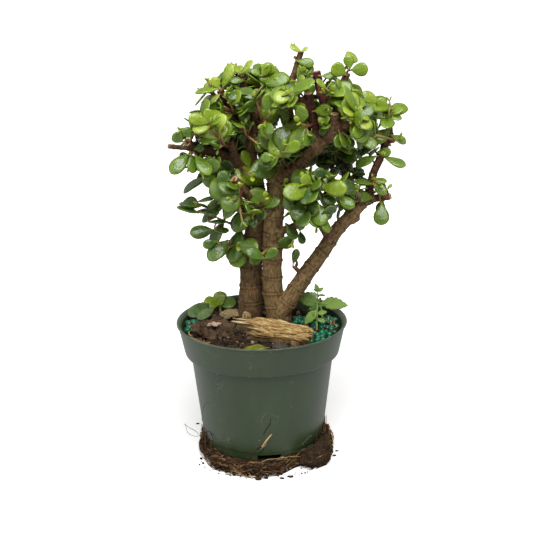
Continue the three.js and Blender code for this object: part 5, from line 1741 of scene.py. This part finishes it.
def addPrills():
    skin = newMaterial("fertiliser", prillMaterial)
    taken = []

    def settled(x, y, reachX, reachY, key):  # a free place beside the balls that lie there already
        for k in range(40):
            place = (x + reachX * (2 * draw(key + k * 3.3) - 1), y + reachY * (2 * draw(key + k * 5.1) - 1))
            apart = all(math.dist(place, other) > prills["apart"] for other in taken)
            if apart and math.hypot(*place) < ground["edge"] - 3:
                taken.append(place)
                return place

    for number, (x, y, spreadX, spreadY, key) in enumerate(prills["heaps"]):
        balls = []
        for i in range(prills["perHeap"]):
            place = settled(x, y, abs(spreadX) + 1, abs(spreadY) + 1, key + i)
            radius = prills["radius"] * (0.85 + 0.25 * draw(key + i + 2))
            if place:
                balls.append(lump((*place, soilTop(*place) + 1 + 1.6 * draw(key + i + 9)), [radius] * 3, 3,
                                  0.07, key + i))
        piece = meshPiece("prill_heap_%d" % (number + 1), balls)
        handOver(piece, "fertiliser", "prills_%d" % (number + 1), skin=skin)
    balls = []
    for n, (middleX, middleY, reach, count) in enumerate(prills["drifts"]):
        for i in range(count):
            key = n * 50 + i
            place = settled(middleX, middleY, reach, reach, key)
            radius = prills["radius"] * (0.75 + 0.3 * draw(key + 0.3))
            if place:
                balls.append(lump((*place, soilTop(*place) + 0.7 * draw(key + 3)), [radius] * 3, 2, 0.07, i))
    piece = meshPiece("loose_prills", balls)
    handOver(piece, "fertiliser", skin=skin)
    print("prills scattered")


addLumps()
addPrills()


# weeds, seedling and shed leaves
front = (0, -0.8, 0.6)
# Each leaf: how far up the stem, its direction, the way it faces, its length and width
smallPlants = {
    "weed_tall": {
        "foot": (53, -8), "height": 39, "lean": (1, 0), "radius": 1.0, "slot": "weed_leaf", "jade": False,
        "leaves": [
            (0.99, (-0.3, 0, 1), front, 8, 5), (0.97, (0.8, 0, 0.7), front, 7, 4),
            (0.98, (-0.9, 0.2, 0.6), front, 5, 3), (0.97, (0.2, 0.8, 0.8), (0, -1, 0.6), 6, 4),
            (0.96, (0.1, -0.9, 0.5), (0, 0.5, 1), 5, 3.4), (0.9, (-1, -0.2, 0.2), front, 7, 4),
            (0.88, (1, -0.3, 0.1), (0, -0.3, 1), 8, 4.5), (0.8, (0.2, 1, 0.4), (0, -0.4, 1), 6, 3.6),
            (0.78, (-0.2, -1, 0.3), (0, 0.3, 1), 5, 3), (0.7, (0.8, 0.5, 0.4), front, 5, 3),
            (0.6, (-1, -0.2, 0.4), front, 9, 5), (0.58, (1, -0.2, 0.3), (0, -0.4, 1), 10, 5),
            (0.5, (-0.7, -0.3, -0.7), (-0.3, -0.9, 0.2), 18, 10), (0.42, (1, -0.4, 0.3), front, 10, 6),
            (0.36, (-0.5, -0.5, 0.6), front, 7, 4), (0.3, (0.9, -0.5, -0.1), front, 9, 5)]},
    "weed_leafy": {
        "foot": (60, 18), "height": 17, "lean": (-3, 4), "radius": 1.1, "slot": "weed_leaf", "jade": False,
        "leaves": [
            (0.98, (-1, 0.1, 0.35), (0.1, -0.9, 0.7), 24, 17),
            (0.96, (1, -0.1, 0.03), (0.1, -0.7, 0.8), 28, 16),
            (0.85, (-0.9, -0.5, -0.1), (0, -0.7, 0.7), 13, 9), (0.99, (0.2, -0.3, 1), (0, -1, 0.2), 6, 4),
            (0.9, (0.3, 0.9, 0.2), (0, -0.4, 1), 12, 9)]},
    "seedling": {
        "foot": (-42, 46), "height": 7, "lean": (0, -1), "radius": 1.3, "slot": "jade_leaf", "jade": True,
        "leaves": [
            (0.98, (-0.9, -0.2, 0.35), (0.1, -0.7, 0.75), 17, 15),
            (0.96, (0, 0.3, 0.9), (0, -1, 0.3), 14, 14),
            (0.9, (0.95, -0.2, 0.35), (-0.1, -0.7, 0.75), 16, 14),
            (0.99, (0.3, -0.6, 0.6), (0, -0.6, 0.8), 6, 5), (0.99, (-0.4, 0.5, 0.7), (0, -0.8, 0.6), 6, 5)]}}

# Each shed leaf: from its root to its tip, how far each lies above the soil, its width and the way it faces
shedLeaves = {"fallen_leaf_1": {"from": (-50, 44), "to": (-72, 18), "lift": (7.5, 4.5), "width": 15,
                                "faces": (0.35, -0.75, 0.7), "slot": "shed_leaf"},
              "fallen_leaf_2": {"from": (-47, 22), "to": (-62, 4), "lift": (9, 5.5), "width": 11,
                                "faces": (0.1, -0.6, 0.8), "slot": "shed_leaf"},
              "yellow_leaf": {"from": (6, -64), "to": (-17, -63), "lift": (2.5, 3.5), "width": 10,
                              "faces": (0, -0.35, 1), "slot": "yellow_leaf"}}


def oneLeaf(root, direction, faces, length, width, thickness, key):
    return {"root": root, "direction": unit(vec(direction)), "normal": unit(vec(faces)), "length": length,
            "width": width, "thickness": thickness, "droop": 0.1 + 0.1 * draw(key),
            "cup": 0.06 * draw(key + 1), "twist": 0.06 * (draw(key + 2) - 0.5), "shade": draw(key + 3)}


def weedMaterial(tree):  # thin leaves with a pale midrib and side veins
    shade, along, across = (attribute(tree, name) for name in ("leafShade", "leafAlong", "leafAcross"))
    wide = maths(tree, "ABSOLUTE", across)
    slant = maths(tree, "SUBTRACT", times(tree, along, 44), times(tree, wide, 14))
    vein = ramp(tree, maths(tree, "SINE", slant), (0.86, 0), (1, 1))
    vein = maths(tree, "MAXIMUM", vein, ramp(tree, wide, (0.03, 1), (0.09, 0)))
    colour = layered(tree, mixColour(tree, shade, (62, 104, 38), (132, 164, 72)),
                     (vein, 0.55, (166, 190, 104)), (cloud(tree, 240, 0.35, 0.7), 0.25, (60, 92, 36)))
    return skinInputs(tree, colour, 0.5, 0.3, times(tree, vein, -1), 0.0006, 0.8)


def weedStemMaterial(tree):
    colour = layered(tree, mixColour(tree, attribute(tree, "twigAlong"), (150, 164, 84), (132, 166, 70)),
                     (cloud(tree, 400, 0.35, 0.7), 0.35, (172, 176, 116)))
    return {"Base Color": colour, "Roughness": 0.5, "Specular IOR Level": 0.3}


def shedMaterial(tree, young=(58, 84, 46), old=(96, 118, 68), scale=160, edge=(3, (134, 142, 88)),
                 stalk=(0.8, 0.2, (112, 96, 58)), freckled=True):  # leathery old leaves with a dull bloom
    along, across, shade = (attribute(tree, name) for name in ("leafAlong", "leafAcross", "leafShade"))
    rim = maths(tree, "POWER", maths(tree, "ABSOLUTE", across), edge[0])
    colour = layered(tree, mixColour(tree, cloud(tree, scale), young, old), (rim, 0.5, edge[1]),
                     (ramp(tree, along, (0, stalk[0]), (stalk[1], 0)), 1, stalk[2]))
    if freckled:
        colour = layered(tree, colour, (dots(tree, 500, 0.2, 0.12), 0.6, (90, 70, 42)))
    gloss = ramp(tree, shade, (0, 0.4), (1, 0.55)) if freckled else 0.45
    return skinInputs(tree, colour, gloss, 0.3, grain(tree, 420, 3), 0.0012, 0.6)


def yellowMaterial(tree):
    return shedMaterial(tree, (74, 80, 16), (118, 120, 26), 200, (2, (160, 156, 72)),
                        (0.9, 0.25, (96, 70, 36)), False)


def addSmallPlants():
    # a toothed leaf: half widths rise and fall, and every other station is bitten in
    outline = [(0.0, 0.06), (0.06, 0.08), (0.12, 0.3), (0.19, 0.62), (0.27, 0.84), (0.35, 0.97), (0.43, 1.0),
               (0.51, 0.98), (0.59, 0.92), (0.67, 0.82), (0.75, 0.7), (0.83, 0.53), (0.9, 0.36), (0.96, 0.19),
               (1.0, 0.05)]
    toothed = blankLeaf("toothedBlank", [(s, w, 1 - 0.5 * s) for s, w in outline], 8, 0.16)
    leafSkins = {False: newMaterial("weed_leaf", weedMaterial), True: leafSkin}
    stemSkin = newMaterial("weed_stem", weedStemMaterial)
    for number, (name, plant) in enumerate(smallPlants.items()):
        x, y = plant["foot"]
        top = soilTop(x, y) + plant["height"]
        end = vec(x + plant["lean"][0], y + plant["lean"][1], top)
        stem = bowCurve(vec(x, y, soilTop(x, y) - 5), vec(x, y, top - 0.4 * plant["height"]), end)
        plump = 0.15 if plant["jade"] else 0.05
        leaves = [oneLeaf(stem["point"](t), direction, faces, length, width, length * plump, number * 40 + i)
                  for i, (t, direction, faces, length, width) in enumerate(plant["leaves"])]
        line = twigLine(stem, plant["radius"], plant["radius"] * 0.5, 9, 0.4)
        piece = twigsAndLeaves(name + "_plant", [line], leaves, jadeLeaf if plant["jade"] else toothed, 8,
                               stemSkin, leafSkins[plant["jade"]])
        handOver(piece, plant["slot"], name)
    skins = {"shed_leaf": newMaterial("shed_leaf", shedMaterial),
             "yellow_leaf": newMaterial("yellow_leaf", yellowMaterial)}
    for number, (name, one) in enumerate(shedLeaves.items()):
        root, tip = (vec(x, y, soilTop(x, y) + lift)
                     for (x, y), lift in zip((one["from"], one["to"]), one["lift"]))
        length = float(np.linalg.norm(tip - root))
        leaf = oneLeaf(root, tip - root, one["faces"], length, one["width"], 2.6, 200 + number)
        leaf.update(droop=0.03, cup=0.05, twist=0.05)
        stalk = ([root - unit(tip - root) * 1.5, root + unit(tip - root) * 1.5], [0.7, 0.8], 0.6)
        piece = twigsAndLeaves(name + "_blade", [stalk], [leaf], jadeLeaf, 6, skins[one["slot"]],
                               skins[one["slot"]])
        handOver(piece, one["slot"], name)
    print("small plants and shed leaves added")


addSmallPlants()


# roots under and around the foot
# reach of the mat every 30 degrees from +X, in millimetres
roots = {"reach": [60, 60, 61, 62, 62, 63, 61, 66, 76, 75, 62, 60], "top": 8.7, "segments": 260,
         "fibres": 900, "crumbs": 1500, "bareWithin": 57, "longest": 46, "step": 3.2, "seed": 5,
         "climbers": 110, "bits": 90, "scraps": 34, "scrapsLeft": 24}
rootClod = {"route": [(40, -54, 6), (49, -49, 8), (57, -39, 9), (62, -26, 11), (63, -13, 14), (62, -4, 18)],
            "radius": 6, "grit": 260000, "fibres": 90,
            "lumps": [((49, -49, 7), (16, 11, 11.5), 0.7), ((58, -34, 8), (13, 8, 12), 1.1)]}
# Routes on the pot's wall as (azimuth, height) with their half thickness and tone, dark 0 to pale 1
wallHairs = [
    ([(-102.8, 8), (-100.5, 17), (-94.8, 26.2), (-91.1, 33.9)], 0.18, 0.5),
    ([(-90, 37), (-87.6, 42.6), (-84.2, 48.8), (-83.3, 54.2)], 0.34, 0.0),
    ([(-96, 21), (-93, 24), (-90.5, 23), (-91, 19.5), (-94.5, 18.5)], 0.35, 0.0),
    ([(-91.3, 24.1), (-87.7, 30.6), (-84.2, 35.8), (-82.4, 37.8)], 0.95, 1.0),
    ([(-92.2, 22), (-89, 25.5), (-86.6, 31)], 0.5, 0.85),
    ([(-165.7, 34.8), (-156.1, 48.1), (-149.3, 56.5), (-140.2, 62.4)], 0.16, 0.35),
    ([(-161.5, 15), (-155, 24.5), (-147.7, 26.9), (-145, 23.7), (-143, 19)], 0.28, 0.05),
    ([(-150, 22), (-143, 27), (-138, 20)], 0.2, 0.2), ([(-52, 19), (-45, 24), (-40, 25)], 0.15, 0.9),
    ([(-71.9, 11.1), (-59.6, 10.3), (-46.2, 9.4)], 0.18, 0.9),
    ([(-104, 12), (-99, 15.5), (-97, 19)], 0.22, 0.5)]
looseHairs = [([(-80, 20, 12), (-77, 8, 8), (-70, -4, 9), (-63, -12, 13)], 0.22, 0.1),
              ([(-78, -20, 30), (-72, -19, 25), (-66, -17, 20), (-61, -18, 13)], 0.25, 0.1),
              ([(-3, -62, 8.2), (4, -61, 11), (12, -60.5, 11.5), (22, -59.5, 12.4)], 0.32, 1.0)]


def reachAt(angle):  # the mat's edge in the direction of an angle in degrees
    share = (angle % 360) / 30
    index = int(share)
    a, b = roots["reach"][index % 12], roots["reach"][(index + 1) % 12]
    return a + (b - a) * smoothstep(0, 1, share - index)


def wallAt(z):  # radius of the pot's outside
    spread = (pot["bodyRadius"] - pot["footRadius"]) * max(z - pot["foot"], 0)
    return pot["footRadius"] + spread / (bandFoot - pot["foot"])


def polar(angle, radius, z):
    a = math.radians(angle)
    return vec(radius * math.cos(a), radius * math.sin(a), z)


def offWall(place, least, gap):  # a place above the floor and outside the pot's wall
    place[2] = max(place[2], least)
    flat, wall = math.hypot(place[0], place[1]), wallAt(place[2]) + gap
    if flat < wall:
        place[:2] *= wall / flat
    return place


def rootMaterial(tree):  # fibres from nearly black to straw
    tone, along = attribute(tree, "twigTone"), attribute(tree, "twigAlong")
    patches = times(tree, maths(tree, "SUBTRACT", cloud(tree, 160), 0.5), 0.3)
    colour = ramp(tree, maths(tree, "ADD", tone, patches, True), (0, (34, 24, 16)), (0.4, (80, 56, 34)),
                  (0.75, (140, 106, 66)), (1, (196, 164, 114)))
    colour = layered(tree, colour, (ramp(tree, along, (0.85, 0), (1, 0.4)), 1, (60, 42, 28)))
    return skinInputs(tree, colour, 0.8, 0.25, grain(tree, 1500), 0.0004, 0.6)


def matMaterial(tree):
    colour = layered(tree, mixColour(tree, cloud(tree, 90), (28, 21, 14), (50, 38, 26)),
                     (cloud(tree, 600, 0.35, 0.7), 1, (76, 58, 40)))
    return skinInputs(tree, colour, 0.95, 0.15, grain(tree, 520, 6), 0.0016, 0.9)


def fibreRoute(key):  # one fibre that winds round the mat's edge
    side = draw(key)
    angle = 170 + 130 * draw(key + 0.1) if side < 0.62 else 360 * draw(key + 0.2)
    length = 8 + roots["longest"] * draw(key + 0.3) ** 2
    start = reachAt(angle) * (0.88 + 0.13 * draw(key + 0.4))
    height = 0.8 + 8.6 * draw(key + 0.5)
    heading = (1 if draw(key + 0.6) < 0.5 else -1) * math.radians(20 * (draw(key + 0.7) - 0.5))
    drift = math.tan(heading) + 0.9 * (draw(key + 0.8) - 0.55)
    turn = (1 if draw(key + 0.9) < 0.5 else -1) * (0.4 + 0.6 * draw(key + 1.1))
    count = max(int(length / roots["step"]), 4)
    route = []
    for i in range(count + 1):
        s = length * i / count
        a = angle + turn * math.degrees(s / start)
        r = start + 0.35 * drift * s + 1.8 * math.sin(s / 5 + 6 * draw(key + 1.2))
        z = height + 2.6 * math.sin(s / 7 + 6 * draw(key + 1.3)) + 0.16 * s * (draw(key + 1.4) - 0.5)
        z = min(max(z, 0.5), 13)
        r = min(r, reachAt(a) * 1.02 + 1)
        route.append(polar(a, max(r, wallAt(z) + 0.5) if z > pot["foot"] - 1 else r, z))
    return route


def climbRoute(key, count=8):  # a fibre that climbs the wall at either side
    left = draw(key) < 0.55
    angle = (180 + 28 * draw(key + 0.1)) if left else (-34 + 40 * draw(key + 0.2))
    top = 10 + (15 if left else 20) * draw(key + 0.3) ** 1.5
    lean = 14 * (draw(key + 0.4) - 0.5)
    route = []
    for t in (i / count for i in range(count + 1)):
        z = 1.5 + (top - 1.5) * t
        swing = (4 if left else 5) * (1 - t) * draw(key + 0.5)
        r = wallAt(z) + 0.6 + swing + 1.2 * math.sin(3 * t + 2 * key) ** 2
        route.append(polar(angle + lean * t + 2.5 * math.sin(5 * t + key), r, z))
    return route


def clodFibre(key, count=7):  # a fibre lying over the clod at the right
    t = draw(key)
    spine = routeCurve(rootClod["route"])
    start, reach, a = spine["point"](t * 0.8), 9 - 3 * t, 6.28 * draw(key + 0.1)
    out = vec(0.77 * math.cos(a), -0.64 * math.cos(a), math.sin(a))
    length = 8 + 18 * draw(key + 0.2)
    ahead = spine["tangent"](t) * (1 if draw(key + 0.3) < 0.5 else -1)
    return [offWall(start + ahead * s + out * (reach + 1.4 * math.sin(s / 3 + key)), 0.5, 0.6)
            for s in (length * (i / count - 0.5) for i in range(count + 1))]


def addMat():
    rings = [(0, 0.15), (0.5, 0.15), (0.8, 0.15), (0.93, 0.2), (0.975, 0.9), (0.99, 2.2), (0.975, 3.8),
             (0.95, 5.4), (0.925, 6.8), (0.9, 8.2), (0.86, 8.5), (0.5, 8.5), (0, 8.5)]
    points, faces, _ = lathe(rings, roots["segments"])
    shaped = []
    for x, y, z in points:
        a = math.degrees(math.atan2(y, x))
        place = vec(x * reachAt(a), y * reachAt(a), z)
        edge = smoothstep(0.7, 0.95, math.hypot(x, y))
        place[:2] *= 1 + edge * (1.9 * rough(place, 6) + 1.2 * rough(place, 2.2, 3) - 0.6) / 70
        place[2] = min(max(place[2] + 0.8 * edge * rough(place, 4, 8), 0.1), roots["top"] - 0.1)
        shaped.append(place)
    body = meshPiece("root_mat_body", [(shaped, faces, {})])
    body.data.materials.append(matSkin)
    places, _ = vertexPlaces(body.data)
    share = (np.hypot(places[:, 0], places[:, 1]) > roots["bareWithin"]) & (places[:, 2] > 1.2)
    loose = sprinkle(copyOf(body, "root_mat_crumbs"), share, roots["crumbs"] / 0.005, 3, 0.3, 1.5, crumbSkin,
                     crumbBlank)
    handOver(body, "roots", "root_mat")
    handOver(loose, "roots")


def addRootClod():
    parts = [tube(*smoothLine(rootClod["route"], rootClod["radius"] * 0.8, 0)[:2], 16)]
    parts += [lump(place, radii, 4, 0.9, place[0], 0.7, turn) for place, radii, turn in rootClod["lumps"]]
    clod = roughen(soften(meshPiece("root_clod_body", parts), 0.9, 2), 1.1, 6, 2.0, 0.6)
    setPlaces(clod.data, [offWall(place, 0.2, 0.3) for place in vertexPlaces(clod.data)[0]])
    clod.data.materials.append(matSkin)
    places, normals = vertexPlaces(clod.data)
    share = ((places * normals)[:, :2].sum(axis=1) > 0) & (places[:, 2] > 1)
    grit = sprinkle(copyOf(clod, "root_clod_crumbs"), share, rootClod["grit"], 9, 0.3, 1.4, matSkin,
                    crumbBlank)
    handOver(clod, "roots", "root_clod")
    handOver(grit, "roots")


def addFibres():
    lines = []
    for i in range(roots["fibres"]):
        key = roots["seed"] + i * 1.37
        lines.append(smoothLine(fibreRoute(key), 0.24 + 0.5 * draw(key + 3) ** 3, draw(key + 2) ** 1.7,
                                roots["step"]))
    for i in range(roots["climbers"]):
        lines.append(smoothLine(climbRoute(400 + i * 1.7), 0.2 + 0.22 * draw(i + 0.5), 0.7 * draw(i + 0.7)))
    for i in range(rootClod["fibres"]):
        lines.append(smoothLine(clodFibre(700 + i * 1.9), 0.2 + 0.25 * draw(i + 0.2), 0.8 * draw(i + 0.4)))
    lines = [line for line in lines
             if all(inBox(p, 0.2) or p[2] < 60 and abs(p[0]) < 82 and p[1] > -81.5 for p in line[0])]
    handOver(twigsAndLeaves("root_fibres", lines, [], jadeLeaf, 5, fibreSkin, fibreSkin), "roots")
    print("roots laid:", len(lines), "fibres")


def addHairs():
    hairs = [smoothLine([polar(a, wallAt(z) + thick * 0.8, z) for a, z in route], thick, tone, 1.2)
             for route, thick, tone in wallHairs]
    hairs += [smoothLine(*strand) for strand in looseHairs]
    for i in range(roots["scraps"]):  # dry root scraps along the pot's inside at the left and at the right
        a = 172 + 66 * draw(i + 0.3) if i < roots["scrapsLeft"] else -8 + 30 * draw(i + 0.5)
        route = []
        for k in range(4):
            x, y, _ = polar(a + 3.2 * k, 73.5 - 7 * draw(i + 0.7) + 1.6 * math.sin(2 * k + i), 0)
            route.append((x, y, soilTop(x, y) + 1.4 + 1.6 * draw(i + k * 0.37)))
        hairs.append(smoothLine(route, 0.3 + 0.6 * draw(i + 0.9) ** 2, 0.5 + 0.5 * draw(i + 0.1), 1.5))
    handOver(twigsAndLeaves("wall_hairs", hairs, [], jadeLeaf, 6, fibreSkin, fibreSkin), "roots")


def addSpill():  # bits of soil on the floor, and the larger ones that the photograph shows
    bits = []
    for i in range(roots["bits"]):
        a, r = -150 + 120 * draw(i + 31), 66 + 14 * draw(i + 47) ** 0.8
        size = 0.5 + 1.1 * draw(i + 53) ** 3
        place = polar(a, min(r, 79.5), size * 0.5)
        bits.append(lump(place, (size * 1.5, size, size * 0.6), 1, 1.4, i, 0.9, 6 * draw(i + 5)))
    for x, y, size in ((-5, -80, 2.6), (17, -78.5, 1.6), (25, -76, 1.9), (69, -34, 1.5), (-69, 43, 1.5),
                       (72, -24, 1.3)):
        bits.append(lump((x, y, size * 0.45), (size * 1.3, size * 0.7, size * 0.5), 2, 1.4, x, 0.9))
    piece = meshPiece("floor_crumbs", bits, smooth=False)
    handOver(piece, "roots", skin=matSkin)


fibreSkin, matSkin = newMaterial("root_fibres", rootMaterial), newMaterial("root_mat", matMaterial)
addMat()
addRootClod()
addFibres()
addHairs()
addSpill()


# floor, light and the end
studio = {"floorSize": 60, "glowNear": 0.3, "glowFar": 1.0, "nearRadius": 0.22, "farRadius": 0.6,
          "bounce": 0.5, "worldLow": 0.3, "worldHigh": 0.5, "keyPower": 23, "keySize": 1.1,
          "keyPlace": (0.12, -0.75, 1.4), "fillPower": 2.5, "fillSize": 0.7, "fillPlace": (-0.9, -0.5, 0.7),
          "aim": (0.02, 0, 0.2)}


def floorMaterial(tree):  # white paper that fades into the white studio away from the pot
    seen = put(tree, "ShaderNodeLightPath").outputs["Is Camera Ray"]
    distance = put(tree, "ShaderNodeVectorMath", {0: objectCoords(tree)}, operation="LENGTH").outputs["Value"]
    glow = put(tree, "ShaderNodeMapRange", {
        "Value": distance, 1: studio["nearRadius"], 2: studio["farRadius"], 3: studio["glowNear"],
        4: studio["glowFar"]})
    bounce = studio["bounce"]
    colour = mixColour(tree, seen, (bounce, bounce, bounce, 1), (250, 249, 247))
    return {"Base Color": colour, "Roughness": 0.85, "Specular IOR Level": 0.1,
            "Emission Color": (1, 1, 1, 1), "Emission Strength": times(tree, seen, glow.outputs[0])}


def addFloor():
    half = studio["floorSize"] / 2
    mesh = bpy.data.meshes.new("floor")
    mesh.from_pydata([(-half, -half, 0), (half, -half, 0), (half, half, 0), (-half, half, 0)], [],
                     [(0, 1, 2, 3)])
    mesh.materials.append(newMaterial("pale_floor", floorMaterial))
    addObject("floor", mesh)


def addLight(name, power, size, place):
    light = bpy.data.lights.new(name, "AREA")
    light.energy, light.size, light.shape = power, size, "DISK"
    lamp = addObject(name, light)
    lamp.location = place
    lamp.rotation_euler = (Vector(place) - Vector(studio["aim"])).to_track_quat("Z", "Y").to_euler()


def addWorld():  # white to the eye, and a soft dome of light that is brighter overhead
    world = bpy.data.worlds.new("studio")
    world.use_nodes = True
    tree = world.node_tree
    height = axisOf(tree, put(tree, "ShaderNodeNewGeometry").outputs["Normal"], 2)
    height = times(tree, height, -1.0, clamp=True)
    lowLight, highLight = studio["worldLow"], studio["worldHigh"]
    dome = maths(tree, "ADD", times(tree, height, highLight - lowLight), lowLight)
    seen = put(tree, "ShaderNodeLightPath").outputs["Is Camera Ray"]
    strength = maths(tree, "ADD", dome, seen)
    background = tree.nodes["Background"]
    background.inputs[0].default_value = (1, 1, 1, 1)
    tree.links.new(strength, background.inputs[1])
    scene.world = world
    scene.view_settings.view_transform = "Standard"


addCamera()
addFloor()
addWorld()
for lamp in ("key", "fill"):
    addLight(lamp, studio[lamp + "Power"], studio[lamp + "Size"], studio[lamp + "Place"])
for blank in [o for o in bpy.data.objects if o.name.endswith("Blank")]:
    bpy.data.objects.remove(blank)
print("studio set")
